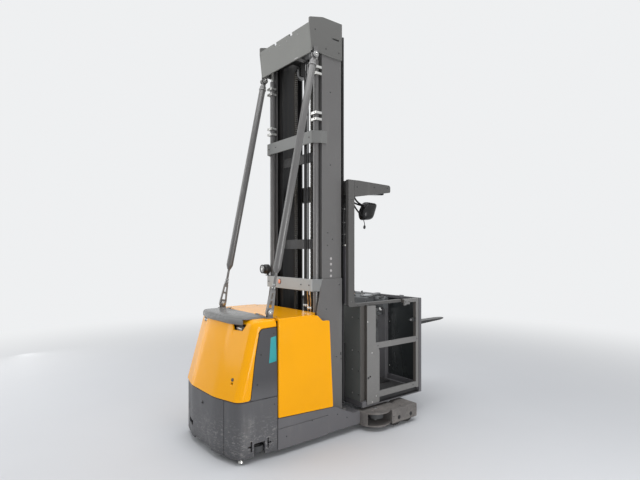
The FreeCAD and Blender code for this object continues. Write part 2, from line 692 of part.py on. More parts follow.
def make_rear_brackets():
    """Brackets of the rear guide rollers with their pins."""
    solids = []
    arm_z = REAR_ROLLER_Z + REAR_ROLLER_HEIGHT / 2.0 + 10.0
    drop = block(REAR_ROLLER_X - 40.0, REAR_ROLLER_X + 20.0, REAR_ROLLER_Y - 40.0, REAR_ROLLER_Y + 40.0,
                 arm_z, DRIVE_PLATE_Z - PLATE)
    drop = drop.cut(block(REAR_ROLLER_X - 28.0, REAR_ROLLER_X + 21.0, REAR_ROLLER_Y - 28.0,
                          REAR_ROLLER_Y + 28.0, arm_z + 14.0, DRIVE_PLATE_Z - PLATE + 1.0))
    pin = Part.makeCylinder(GUIDE_PIN_R, arm_z - REAR_ROLLER_Z + REAR_ROLLER_HEIGHT / 2.0 + 4.0,
                            Vec(REAR_ROLLER_X, REAR_ROLLER_Y,
                                REAR_ROLLER_Z - REAR_ROLLER_HEIGHT / 2.0 - 4.0))
    solids.extend(both(drop.fuse(pin).removeSplitter()))
    return solids


def make_rear_feet():
    """Two support feet on stems under the rear corners."""
    pad = Part.makeCone(FOOT_R, FOOT_R * 0.7, 18.0, Vec(FOOT_X, FOOT_Y, FOOT_CLEAR))
    stem = Part.makeCylinder(9.0, DRIVE_PLATE_Z - PLATE - FOOT_CLEAR - 18.0,
                             Vec(FOOT_X, FOOT_Y, FOOT_CLEAR + 18.0))
    return both(pad.fuse(stem).removeSplitter())


def make_top_cover():
    """Yellow cover over the battery between the doors."""
    inner = CHASSIS_WIDTH / 2.0 - DOOR_FLANGE - PANEL_GAP
    cover = plate_z([
        (LID_HALF, LID_FRONT + PANEL_GAP),
        (LID_HALF, SILL_START + PANEL_GAP),
        (inner, SILL_START + PANEL_GAP),
        (inner, DOOR_NOTCH_Y, 30.0),
        (MAST_HALF - RAIL_WALL, FRONT_WALL_Y + PLATE),
        (-MAST_HALF + RAIL_WALL, FRONT_WALL_Y + PLATE),
        (-inner, DOOR_NOTCH_Y, 30.0),
        (-inner, SILL_START + PANEL_GAP),
        (-LID_HALF, SILL_START + PANEL_GAP),
        (-LID_HALF, LID_FRONT + PANEL_GAP),
    ], BAY_TOP, DOOR_TOP)
    for x in (-HINGE_X, HINGE_X):
        pin = rod((x, HINGE_Y, HINGE_Z), (1, 0, 0), HINGE_PIN_R, HINGE_LONG + HINGE_ROOM + HINGE_LUG)
        cover = cover.fuse(pin)
        for side in (-1, 1):
            lug_x = x + side * (HINGE_LONG / 2.0 + HINGE_ROOM / 2.0)
            lug = plate_x([
                (HINGE_Y - HINGE_R, HINGE_Z - HINGE_R + 1.0, 5.0),
                (LID_FRONT + PANEL_GAP, LID_TOP - LID_WALL),
                (LID_FRONT + PANEL_GAP + 20.0, LID_TOP - LID_WALL),
                (LID_FRONT + PANEL_GAP + 20.0, HINGE_Z - 4.0, 4.0),
                (HINGE_Y - HINGE_R, HINGE_Z + HINGE_R, 5.0),
            ], lug_x - HINGE_LUG / 2.0, lug_x + HINGE_LUG / 2.0)
            cover = cover.fuse(lug)
    return cover.removeSplitter()


def make_battery_door():
    """Side door of the battery bay with its folded top edge."""
    half = CHASSIS_WIDTH / 2.0
    start = SILL_START + PANEL_GAP
    panel = plate_x([
        (start, DOOR_LOW_REAR, 6.0),
        (DOOR_END_LOW, DOOR_LOW_FRONT, 10.0),
        (DOOR_END_HIGH, DOOR_NOTCH_Z, 14.0),
        (DOOR_NOTCH_Y + 60.0, DOOR_NOTCH_Z, 30.0),
        (DOOR_NOTCH_Y, DOOR_TOP - 6.0, 40.0),
        (start, DOOR_TOP),
    ], half - DOOR_WALL, half)
    flange = block(half - DOOR_FLANGE, half, start, DOOR_NOTCH_Y - 30.0, DOOR_TOP - DOOR_WALL, DOOR_TOP)
    door = panel.fuse(flange).removeSplitter()
    back = half - DOOR_FLANGE - 5.0
    end = DOOR_END_LOW + 5.0
    plan = plate_z([(back, start), (half, start, DOOR_WALL / 2.0), (half, end), (back, end)], 0.0, MAST_TOP)
    section = plate_y([(back, 0.0), (half, 0.0), (half, DOOR_TOP, 14.0), (back, DOOR_TOP)], 0.0, end)
    bore = rod((DOOR_PIVOT_X, DOOR_PIVOT_Y, DOOR_LOW_REAR), (0, 0, 1), DOOR_PIN_R + PIN_GAP,
               2.0 * DOOR_PIN_UP + 4.0)
    return door.common(plan).common(section).cut(bore)


def make_battery():
    """Traction battery in its steel tray."""
    return block(-BATTERY_HALF, BATTERY_HALF, BATTERY_START, BATTERY_END, BAY_FLOOR, BATTERY_TOP)


# Drive


def make_turntable():
    """Steered ring with the gearbox leg that carries the drive wheel."""
    ring = rod((0, WHEEL_Y, DRIVE_PLATE_Z + 14.0), (0, 0, 1), TURNTABLE_R, 28.0 - 2.0 * SEAT_GAP)
    leg = plate_y([
        (GEARBOX_INNER, 60.0, 30.0),
        (GEARBOX_OUTER, 60.0, 40.0),
        (GEARBOX_OUTER, 380.0, 20.0),
        (GEARBOX_OUTER - 50.0, 400.0),
        (GEARBOX_OUTER - 50.0, DRIVE_PLATE_Z + 2.0),
        (-GEARBOX_OUTER + 60.0, DRIVE_PLATE_Z + 2.0),
        (-GEARBOX_OUTER + 60.0, 380.0, 20.0),
        (GEARBOX_INNER, 360.0, 20.0),
    ], WHEEL_Y - 64.0, WHEEL_Y + 64.0)
    axle = rod(((GEARBOX_INNER - WHEEL_WIDTH / 2.0 - 4.0) / 2.0 + 8.0, WHEEL_Y, WHEEL_R), (1, 0, 0),
               AXLE_R, GEARBOX_INNER + WHEEL_WIDTH / 2.0 + 20.0)
    return fused(ring, leg, axle)


def make_motor():
    """Upright drive motor block on the turntable."""
    base = DRIVE_PLATE_Z + 28.0
    drum = Part.makeCylinder(MOTOR_R, MOTOR_TOP - base - 60.0, Vec(0, WHEEL_Y, base))
    brake = Part.makeCylinder(MOTOR_R - 30.0, 60.0, Vec(0, WHEEL_Y, MOTOR_TOP - 60.0))
    return drum.fuse(brake).removeSplitter()


def make_drive_wheel():
    """Drive wheel with a dished hub and a bore for its axle."""
    tyre = rod((0, WHEEL_Y, WHEEL_R), (1, 0, 0), WHEEL_R, WHEEL_WIDTH)
    for side in (-1.0, 1.0):
        tyre = tyre.cut(rod((side * WHEEL_WIDTH / 2.0, WHEEL_Y, WHEEL_R), (1, 0, 0), WHEEL_R - 50.0, 30.0))
    return tyre.cut(rod((0, WHEEL_Y, WHEEL_R), (1, 0, 0), AXLE_R + PIN_GAP, WHEEL_WIDTH * 2.0))


def make_wheel(centre, axis, radius, width, bore):
    """Plain roller or wheel with a bore."""
    wheel = rod(centre, axis, radius, width)
    return wheel.cut(rod(centre, axis, bore + PIN_GAP, width * 2.0))


# Mast


def make_outer_rail():
    """Fixed mast rail: a deep channel open to the inside."""
    web = block(MAST_HALF - RAIL_WALL, MAST_HALF, MAST_REAR, MAST_FRONT, MAST_BASE, RAIL_TOP)
    inner = MAST_HALF - RAIL_FLANGE
    rear = block(inner, MAST_HALF, MAST_REAR, MAST_REAR + RAIL_FLANGE_WALL, MAST_BASE, RAIL_TOP)
    front = block(inner, MAST_HALF, MAST_FRONT - RAIL_FLANGE_WALL, MAST_FRONT, MAST_BASE, RAIL_TOP)
    base = block(-MAST_HALF, MAST_HALF, MAST_REAR, MAST_FRONT + 60.0, DECK_Z, MAST_BASE + 16.0)
    return fused(web, rear, front), base


def make_mast_rails():
    """Both fixed rails on their base plate with the chain anchors."""
    rail, base = make_outer_rail()
    pieces = [base, rail, mirrored(rail)]
    lug = block(SHEAVE_X - CHAIN_WIDTH, SHEAVE_X + CHAIN_WIDTH, SHEAVE_Y - SHEAVE_R - CHAIN_THICK,
                SHEAVE_Y - SHEAVE_R + CHAIN_THICK, MAST_BASE, CHAIN_ANCHOR_Z)
    return fused(*pieces, *both(lug))


def make_foot_plates():
    """Side plates that tie the mast to the chassis and to the lower brace."""
    plate = plate_x([
        (MAST_REAR - 40.0, DECK_Z),
        (MAST_FRONT, DECK_Z),
        (MAST_FRONT, FOOT_PLATE_TOP),
        (MAST_REAR - 4.0, FOOT_PLATE_TOP, 20.0),
        (MAST_REAR - 28.0, FOOT_PLATE_TOP - 96.0, 60.0),
        (MAST_REAR - 40.0, FOOT_PLATE_TOP - 186.0, 60.0),
        (MAST_REAR - 64.0, FOOT_PLATE_TOP - 296.0, 60.0),
        (MAST_REAR - 64.0, DECK_Z + 158.0, 60.0),
    ], MAST_HALF, MAST_HALF + PLATE)
    return both(plate)


def make_brace(low, high):
    """Cross brace behind the cylinders with chamfered ends on the rails."""
    outer = [
        (MAST_HALF + PLATE, MAST_REAR + 46.0),
        (MAST_HALF + PLATE, MAST_REAR - 18.0, 16.0),
        (BRACE_HALF + 6.0, BRACE_REAR, 16.0),
    ]
    inner = [
        (BRACE_HALF, BRACE_REAR + BRACE_WALL, 10.0),
        (MAST_HALF, MAST_REAR - 14.0, 10.0),
        (MAST_HALF, MAST_REAR + 46.0),
    ]
    left_outer = [(-p[0],) + tuple(p[1:]) for p in reversed(outer)]
    left_inner = [(-p[0],) + tuple(p[1:]) for p in reversed(inner)]
    brace = plate_z(outer + left_outer + left_inner + inner, low, high)
    for plate in make_foot_plates():
        brace = brace.cut(plate)
    return brace


def make_mast_cover():
    """Head cover: a sloping rear plate between two side plates with ears."""
    rear = plate_x([
        (COVER_REAR_LOW, COVER_LOW),
        (COVER_REAR_LOW + COVER_WALL, COVER_LOW),
        (COVER_REAR_TOP + COVER_WALL, COVER_BACK_TOP),
        (COVER_REAR_TOP, COVER_BACK_TOP),
    ], -MAST_HALF, MAST_HALF)
    for x in (-150.0, 110.0):
        rear = rear.cut(block(x, x + 40.0, COVER_REAR_TOP - 30.0, COVER_REAR_TOP + 60.0,
                              COVER_BACK_TOP - 24.0, COVER_BACK_TOP + 5.0))
    side = plate_x([
        (COVER_REAR_LOW, COVER_LOW + 12.0),
        (COVER_REAR_LOW + 70.0, COVER_LOW + 12.0),
        (MAST_REAR + 80.0, COVER_LOW),
        (MAST_FRONT, COVER_LOW),
        (MAST_FRONT, MAST_TOP),
        (MAST_REAR, MAST_TOP, 60.0),
        (COVER_REAR_TOP, COVER_EAR_TOP, 14.0),
        (COVER_REAR_TOP, COVER_BACK_TOP - 20.0),
    ], MAST_HALF, MAST_HALF + COVER_WALL)
    slot_y = (MAST_REAR + MAST_FRONT) / 2.0
    slot = block(MAST_HALF - 1.0, MAST_HALF + COVER_WALL + 1.0, slot_y, slot_y + COVER_SLOT_LONG,
                 MAST_TOP - COVER_SLOT_DROP, MAST_TOP - COVER_SLOT_DROP + COVER_SLOT_HIGH)
    side = side.cut(slot)
    return fused(rear, side, mirrored(side))


def make_cylinders():
    """Lift cylinder barrels with their rod ends open at the top."""
    barrel = Part.makeCylinder(CYLINDER_R, CYLINDER_TOP - MAST_BASE - 16.0,
                               Vec(CYLINDER_X, CYLINDER_Y, MAST_BASE + 16.0))
    bore = Part.makeCylinder(CYLINDER_BORE, CYLINDER_TOP, Vec(CYLINDER_X, CYLINDER_Y, MAST_BASE + 60.0))
    return both(barrel.cut(bore))


def make_cylinder_clamps():
    """Pairs of U bolts that hold each barrel to the rail."""
    solids = []
    for drop in CLAMP_DROPS:
        level = CYLINDER_TOP - drop
        for z in (level - 28.0, level + 28.0):
            ring = rod((CYLINDER_X, CYLINDER_Y, z), (0, 0, 1), CYLINDER_R + 2.0 * CLAMP_R, 2.0 * CLAMP_R)
            ring = ring.cut(rod((CYLINDER_X, CYLINDER_Y, z), (0, 0, 1), CYLINDER_R, 4.0 * CLAMP_R))
            ring = ring.cut(block(CYLINDER_X - 60.0, CYLINDER_X + 60.0, MAST_REAR, MAST_REAR + 60.0,
                                  z - 20.0, z + 20.0))
            solids.extend(both(ring))
    return solids


def make_rods():
    """Piston rods under the head of the inner mast."""
    bottom = CYLINDER_TOP - LIFT_STAGE - 150.0
    return both(Part.makeCylinder(ROD_R, HEAD_BOTTOM - bottom, Vec(CYLINDER_X, CYLINDER_Y, bottom)))


def make_inner_mast():
    """Moving mast: two I rails with ties at the rear and a head over the cylinders."""
    web = block(INNER_WEB_X, INNER_WEB_X + INNER_WEB, INNER_REAR, INNER_FRONT, INNER_BOTTOM, INNER_TOP)
    flanges = []
    for y in (INNER_REAR, INNER_FRONT - INNER_FLANGE):
        flanges.append(block(INNER_FLANGE_IN, INNER_FLANGE_OUT, y, y + INNER_FLANGE,
                             INNER_BOTTOM, INNER_TOP))
    pad_out = MAST_HALF - RAIL_WALL - SLIDE_GAP
    pad_rear = MAST_REAR + RAIL_FLANGE_WALL + SLIDE_GAP
    side_pad = block(INNER_FLANGE_OUT - 2.0, pad_out, pad_rear, INNER_REAR + INNER_FLANGE,
                     INNER_BOTTOM, INNER_BOTTOM + PAD_HEIGHT)
    rear_pad = block(INNER_FLANGE_OUT - 40.0, INNER_FLANGE_OUT, pad_rear, INNER_REAR + 2.0,
                     INNER_BOTTOM, INNER_BOTTOM + PAD_HEIGHT)
    rail = fused(web, side_pad, rear_pad, *flanges)
    ties = []
    for z in TIE_LEVELS:
        ties.append(block(-INNER_FLANGE_IN, INNER_FLANGE_IN, INNER_REAR, INNER_REAR + INNER_FLANGE,
                          z, z + TIE_HEIGHT))
    reach = CYLINDER_Y - ROD_R - 8.0
    head = block(-INNER_FLANGE_OUT, INNER_FLANGE_OUT, reach, INNER_REAR + INNER_FLANGE,
                 HEAD_BOTTOM, HEAD_TOP)
    head_beam = block(-INNER_FLANGE_IN, INNER_FLANGE_IN, INNER_REAR, INNER_FRONT - INNER_FLANGE - 8.0,
                      HEAD_TOP - 20.0, HEAD_TOP)
    hanger = block(SHEAVE_X - SHEAVE_WIDTH, SHEAVE_X - SHEAVE_WIDTH + 12.0, SHEAVE_Y - 26.0,
                   SHEAVE_Y + 26.0, SHEAVE_Z - 30.0, HEAD_TOP - 20.0)
    pin = rod((SHEAVE_X - 6.0, SHEAVE_Y, SHEAVE_Z), (1, 0, 0), 12.0, SHEAVE_WIDTH + 18.0)
    return fused(rail, mirrored(rail), *ties, head, head_beam, *both(hanger), *both(pin))


def make_sheaves():
    """Chain sheaves with flanged rims."""
    centre = (SHEAVE_X, SHEAVE_Y, SHEAVE_Z)
    wheel = rod(centre, (1, 0, 0), SHEAVE_R, SHEAVE_WIDTH)
    groove = rod(centre, (1, 0, 0), SHEAVE_R + 5.0, CHAIN_WIDTH + 2.0)
    groove = groove.cut(rod(centre, (1, 0, 0), SHEAVE_R - CHAIN_THICK, CHAIN_WIDTH + 4.0))
    bore = rod(centre, (1, 0, 0), 12.0, SHEAVE_WIDTH * 2.0)
    return both(wheel.cut(groove).cut(bore))


def make_chains(y, low, high):
    """Straight run of both lift chains at one station."""
    return both(block(SHEAVE_X - CHAIN_WIDTH / 2.0, SHEAVE_X + CHAIN_WIDTH / 2.0, y, y + CHAIN_THICK,
                      low, high))


# Stays


def stay_frame():
    """Length of the stay and the placement that lays local +Z along it."""
    along = STAY_HEAD - STAY_FOOT
    turn = FreeCAD.Rotation(Vec(0, 0, 1), along)
    return along.Length, FreeCAD.Placement(STAY_FOOT, turn)


def placed(shape, placement):
    """Copy of a shape in a placement."""
    return shape.transformed(placement.toMatrix(), True)


def make_stays():
    """Tubes with collars, threaded rods and eyes at both ends."""
    length, placement = stay_frame()
    tube = Part.makeCylinder(STAY_TUBE_R, length - STAY_TUBE_START - 60.0, Vec(0, 0, STAY_TUBE_START))
    low_cone = Part.makeCone(STAY_ROD_R + 4.0, STAY_TUBE_R, 40.0, Vec(0, 0, STAY_TUBE_START - 40.0))
    high_cone = Part.makeCone(STAY_TUBE_R, STAY_ROD_R + 6.0, 30.0, Vec(0, 0, length - 60.0))
    rod_low = Part.makeCylinder(STAY_ROD_R, STAY_TUBE_START - STAY_LINK_END,
                                Vec(0, 0, STAY_LINK_END - 10.0))
    collar = Part.makeCylinder(STAY_ROD_R + 7.0, 26.0, Vec(0, 0, STAY_LINK_END - 10.0))
    eye = rod((0, 0, length), (1, 0, 0), 30.0, 22.0)
    neck = block(-10.0, 10.0, -18.0, 18.0, length - 40.0, length)
    stay = fused(tube, low_cone, high_cone, rod_low, collar, eye, neck)
    stay = stay.cut(rod((0, 0, length), (1, 0, 0), 12.0, 60.0))
    return both(placed(stay, placement))


def make_stay_links():
    """Pierced links between the feet and the threaded rods."""
    placement = stay_frame()[1]
    foot_r = 34.0
    top = STAY_LINK_END
    plate = plate_x([
        (-foot_r, -foot_r, 26.0),
        (foot_r, -foot_r, 26.0),
        (foot_r, 20.0, 20.0),
        (20.0, top - 10.0, 10.0),
        (-20.0, top - 10.0, 10.0),
        (-foot_r, 20.0, 20.0),
    ], -STAY_LINK_WALL / 2.0, STAY_LINK_WALL / 2.0)
    low_hole = plate_x([(-17.0, 34.0, 5.0), (17.0, 34.0, 5.0), (12.0, 88.0, 6.0), (-12.0, 88.0, 6.0)],
                       -20.0, 20.0)
    high_hole = plate_x([(-10.0, 106.0, 5.0), (10.0, 106.0, 5.0), (8.0, 152.0, 5.0), (-8.0, 152.0, 5.0)],
                        -20.0, 20.0)
    plate = plate.cut(low_hole).cut(high_hole)
    plate = plate.cut(rod((0, 0, 0), (1, 0, 0), STAY_PIN_R, 60.0))
    return both(placed(plate, placement))


def make_stay_feet():
    """Clevis feet on the hood and clevises under the head cover, with their pins."""
    foot_x, y, z = STAY_FOOT
    base = block(foot_x - STAY_FOOT_HALF, foot_x + STAY_FOOT_HALF, y - 40.0, y + 24.0,
                 HOOD_TOP, HOOD_TOP + 10.0)
    ears = []
    for x in (foot_x - STAY_LINK_WALL / 2.0 - 10.0, foot_x + STAY_LINK_WALL / 2.0 + 2.0):
        ears.append(plate_x([
            (y - 26.0, HOOD_TOP + 2.0),
            (y + 24.0, HOOD_TOP + 2.0),
            (y + 18.0, z + 20.0, 14.0),
            (y - 18.0, z + 20.0, 14.0),
        ], x, x + 8.0))
    pin = rod((foot_x, y, z), (1, 0, 0), STAY_PIN_R, 2.0 * STAY_FOOT_HALF)
    foot = fused(base, *ears, pin)
    head_x, head_y, head_z = STAY_HEAD
    lugs = []
    for x in (head_x - 24.0, head_x + 13.0):
        lugs.append(plate_x([(head_y - 14.0, COVER_LOW + 40.0), (head_y - 14.0, head_z - 20.0, 12.0),
                             (head_y + 26.0, head_z - 20.0, 16.0), (head_y + 26.0, COVER_LOW + 40.0)],
                            x, x + 10.0))
    bridge = block(head_x - 24.0, head_x + 23.0, head_y - 14.0, head_y + 26.0,
                   COVER_LOW + 30.0, COVER_LOW + 44.0)
    top_pin = rod((head_x, head_y, head_z), (1, 0, 0), 12.0, 54.0)
    head = fused(*lugs, bridge, top_pin).cut(
        block(MAST_HALF, MAST_HALF + COVER_WALL, 0.0, MAST_FRONT, COVER_LOW + 12.0, MAST_TOP))
    return both(foot) + both(head)


def make_lamp():
    """Round working lamp on a stem at the left end of the lower brace."""
    x, y, z = -BRACE_HALF - 6.0, BRACE_REAR + 6.0, BRACE_LEVELS["lower"][1] + LAMP_RISE
    drum = rod((x, y - 12.0, z), (0, 1, 0), 48.0, 36.0)
    dome = turned([(0.0, 0.0), (48.0, 0.0), (44.0, 12.0), (34.0, 21.0), (18.0, 27.0), (0.0, 29.0)],
                  (x, y - 29.0, z), (0, -1, 0))
    stem = rod((x, y, (z + BRACE_LEVELS["lower"][1]) / 2.0 - 10.0), (0, 0, 1), 8.0,
               z - BRACE_LEVELS["lower"][1] - 20.0)
    foot = block(x - 30.0, x + 30.0, y - 6.0, y + 6.0, BRACE_LEVELS["lower"][1],
                 BRACE_LEVELS["lower"][1] + 8.0)
    return fused(drum, dome, stem, foot)


# Cab


def make_cab_floor():
    """Floor pan of the cab with a raised edge for the rubber mat."""
    front = CAB_FRONT - FRONT_DEPTH
    pan = block(-CAB_HALF + FLOOR_IN, CAB_HALF - FLOOR_IN, CAB_REAR, front, CAB_BOTTOM, CAB_FLOOR)
    edge = block(-CAB_HALF, CAB_HALF, CAB_REAR, front, CAB_BOTTOM, CAB_BOTTOM + FLOOR_EDGE)
    heel = block(-CAB_HALF, CAB_HALF, CAB_REAR, GATE_START - PANEL_GAP, CAB_BOTTOM, CAB_FLOOR)
    recess = block(-CAB_HALF + 46.0, CAB_HALF - 46.0, CAB_REAR + CAB_WALL + 10.0,
                   CAB_FRONT - FRONT_DEPTH - COLUMN_DEPTH - 10.0, CAB_FLOOR - 8.0, CAB_FLOOR + 1.0)
    pin = Part.makeCylinder(GATE_PIN_R, GATE_PIN_DEEP,
                            Vec(GATE_PIVOT_X, GATE_PIVOT_Y, CAB_BOTTOM + FLOOR_EDGE - 2.0))
    return fused(pan.cut(recess), edge, heel, *both(pin))


def make_cab_rear_wall():
    """Back wall of the cab towards the mast, with its two side posts."""
    wall = block(-POST_X - POST_THICK, POST_X + POST_THICK, CAB_REAR, CAB_REAR + CAB_WALL,
                 CAB_FLOOR, CAB_RAIL_TOP - CAB_RAIL)
    post = block(POST_X, POST_X + POST_THICK, CAB_REAR, GATE_START - PANEL_GAP, CAB_FLOOR,
                 CAB_RAIL_TOP - CAB_RAIL)
    return fused(wall, post, mirrored(post))


def make_cab_carriage():
    """Carriage that runs in the inner rails: uprights, guide rollers and cross plates."""
    upright = block(CARRIAGE_IN, CARRIAGE_OUT, CARRIAGE_REAR, CAB_REAR, CAB_BOTTOM + 20.0, CARRIAGE_TOP)
    bars = []
    for top in (CAB_BOTTOM + 20.0 + CARRIAGE_BAR, ANCHOR_TOP, CARRIAGE_TOP):
        bars.append(block(-CARRIAGE_IN, CARRIAGE_IN, INNER_FRONT, CAB_REAR, top - CARRIAGE_BAR, top))
    yoke = CHAIN_WIDTH / 2.0 + PANEL_GAP
    strand = SHEAVE_Y + SHEAVE_R - CHAIN_THICK
    lug = block(SHEAVE_X - yoke - 12.0, SHEAVE_X + yoke + 12.0, strand - PANEL_GAP, INNER_FRONT,
                ANCHOR_TOP - ANCHOR_HIGH, ANCHOR_TOP)
    lug = lug.cut(block(SHEAVE_X - yoke, SHEAVE_X + yoke, strand - PANEL_GAP - 1.0,
                        strand + CHAIN_THICK + PANEL_GAP, ANCHOR_TOP - ANCHOR_HIGH - 1.0, ANCHOR_TOP + 1.0))
    rollers = []
    mid = (INNER_REAR + INNER_FRONT) / 2.0
    radius = (INNER_FRONT - INNER_REAR) / 2.0 - INNER_FLANGE - SLIDE_GAP
    for z in (CAB_BOTTOM + 20.0 + radius, CARRIAGE_TOP - radius):
        rollers.append(rod(((CARRIAGE_OUT + INNER_WEB_X - RUN_GAP) / 2.0, mid, z), (1, 0, 0), radius,
                           INNER_WEB_X - RUN_GAP - CARRIAGE_OUT))
    pieces = [upright, mirrored(upright)] + bars + both(lug)
    for roller in rollers:
        pieces.extend(both(roller))
    return fused(*pieces)


def make_cab_front():
    """Load side frame of the cab: posts, rails and the inner column."""
    y0 = CAB_FRONT - FRONT_DEPTH
    post = block(CAB_HALF - FRONT_POST, CAB_HALF, y0, CAB_FRONT, CAB_BOTTOM, CAB_RAIL_TOP)
    low = block(-CAB_HALF, CAB_HALF, y0, CAB_FRONT, CAB_BOTTOM, CAB_FLOOR + 50.0)
    high = block(-CAB_HALF, CAB_HALF, y0, CAB_FRONT, CAB_RAIL_TOP - CAB_RAIL, CAB_RAIL_TOP)
    spine = block(-COLUMN_HALF, COLUMN_HALF, y0 - COLUMN_DEPTH, CAB_FRONT, CAB_FLOOR, COLUMN_TOP)
    tie = block(-COLUMN_HALF, COLUMN_HALF, y0, CAB_FRONT, COLUMN_TOP, CAB_RAIL_TOP)
    return fused(post, mirrored(post), low, high, spine, tie)


def make_front_panels():
    """Dark panels in the load side frame."""
    y = CAB_FRONT - FRONT_DEPTH / 2.0 - PANEL_WALL / 2.0
    return both(block(COLUMN_HALF, CAB_HALF - FRONT_POST, y, y + PANEL_WALL, CAB_FLOOR + 50.0,
                      CAB_RAIL_TOP - CAB_RAIL))


def make_console():
    """Control desk on the load side frame with a sloping top."""
    y1 = CAB_FRONT - FRONT_DEPTH
    y0 = y1 - CONSOLE_DEPTH
    desk = plate_x([
        (y0, CONSOLE_FLOOR + 40.0, 14.0),
        (y1 - 60.0, CONSOLE_FLOOR),
        (y1, CONSOLE_FLOOR),
        (y1, CONSOLE_TOP),
        (y1 - 50.0, CONSOLE_TOP, 16.0),
        (y0, CONSOLE_TOP - 34.0, 12.0),
    ], CONSOLE_END, -COLUMN_HALF)
    face_z = CONSOLE_TOP - 34.0
    recess = plate_x([(y0 + 18.0, face_z - 4.0), (y0 + 18.0, face_z + 30.0), (y1 - 70.0, CONSOLE_TOP + 12.0),
                      (y1 - 70.0, CONSOLE_TOP - 12.0)], CONSOLE_END + 24.0, -COLUMN_HALF - 150.0)
    desk = desk.cut(recess)
    column_face = y1 - COLUMN_DEPTH
    pod = plate_x([
        (column_face - 70.0, COLUMN_TOP - 50.0, 16.0),
        (column_face, COLUMN_TOP - 62.0),
        (column_face, POD_TOP),
        (column_face - 24.0, POD_TOP, 12.0),
        (column_face - 70.0, POD_TOP - 22.0, 12.0),
    ], -COLUMN_HALF, POD_END)
    knob_z = COLUMN_TOP - KNOB_DROP - 60.0
    grip = turned(KNOB_FORM, (0, column_face, knob_z), (0, -1, 0))
    return [desk.fuse(pod).removeSplitter(), grip]


def make_guard_posts():
    """Guard posts bent forward into the hand rails of the cab."""
    y1 = POST_REAR + POST_DEPTH
    low = CAB_RAIL_TOP - CAB_RAIL
    post = plate_x([
        (POST_REAR, GUARD_TOP),
        (POST_REAR, low, POST_CORNER_R),
        (RAIL_END, low),
        (RAIL_END, CAB_RAIL_TOP),
        (y1, CAB_RAIL_TOP, POST_BEND_R),
        (y1, GUARD_TOP),
    ], POST_X, POST_X + POST_THICK)
    ear_z = GATE_POST_TOP + 1.0
    ear = block(POST_X + POST_THICK - 1.0, CAB_HALF, GATE_PIVOT_Y - 13.0, GATE_PIVOT_Y + 16.0, ear_z,
                ear_z + 12.0)
    pin = Part.makeCylinder(GATE_PIN_R, GATE_PIN_DEEP,
                            Vec(GATE_PIVOT_X, GATE_PIVOT_Y, ear_z + 2.0 - GATE_PIN_DEEP))
    return both(fused(post, ear, pin))


def make_guard():
    """Overhead guard: tapered side plates, cross members and roof bars."""
    y0 = POST_REAR + POST_DEPTH
    side = plate_x([
        (y0, GUARD_TOP),
        (y0, GUARD_DEEP),
        (y0 + 42.0, GUARD_DEEP, 20.0),
        (GUARD_FRONT, GUARD_SHALLOW, 16.0),
        (GUARD_FRONT, GUARD_TOP - 14.0, 24.0),
        (y0 + 60.0, GUARD_TOP),
    ], POST_X + 4.0, POST_X + 4.0 + GUARD_SIDE)
    x = POST_X + 4.0
    back = INNER_FRONT + RUN_GAP + 2.0
    rear = block(-POST_X, POST_X, back, y0, GUARD_DEEP, GUARD_TOP)
    rear = rear.cut(block(-POST_X - 1.0, POST_X + 1.0, back + 8.0, y0 + 1.0, GUARD_DEEP - 1.0,
                          GUARD_TOP - 8.0))
    bar_top = GUARD_TOP - 8.0
    front = block(-x, x, GUARD_FRONT - 46.0, GUARD_FRONT - 12.0, GUARD_SHALLOW + 8.0, bar_top - 10.0)
    bars = []
    pitch = 2.0 * x / (GUARD_BARS + 1)
    for i in range(GUARD_BARS):
        centre = -x + pitch * (i + 1)
        bars.append(block(centre - GUARD_BAR / 2.0, centre + GUARD_BAR / 2.0, back + 4.0,
                          GUARD_FRONT - 20.0, bar_top - 34.0, bar_top - 10.0))
    cross = block(-x, x, y0, y0 + 8.0, GUARD_DEEP + 40.0, bar_top - 10.0)
    return fused(side, mirrored(side), rear, front, cross, *bars)


def make_mirror():
    """Dark mirror housing on bent arms under the guard's right side."""
    y, z, x = POST_REAR + MIRROR_FORE, GUARD_DEEP - MIRROR_DROP, POST_X - MIRROR_IN
    shell = plate_x([(y - 72.0, z - 40.0, 20.0), (y - 40.0, z + 72.0, 24.0), (y + 84.0, z + 62.0, 24.0),
                     (y + 40.0, z - 78.0, 24.0), (y - 20.0, z - 76.0, 20.0)], x - 60.0, x + 34.0)
    top_arm = block(x + 4.0, x + 20.0, y - 98.0, y - 84.0, z + 30.0, GUARD_DEEP + 60.0)
    low_arm = block(x + 4.0, x + 20.0, y - 98.0, y - 30.0, z + 22.0, z + 36.0)
    hook = block(x + 4.0, POST_X + 4.0, y - 98.0, y - 84.0, GUARD_DEEP + 46.0, GUARD_DEEP + 60.0)
    return fused(shell, top_arm, low_arm, hook)


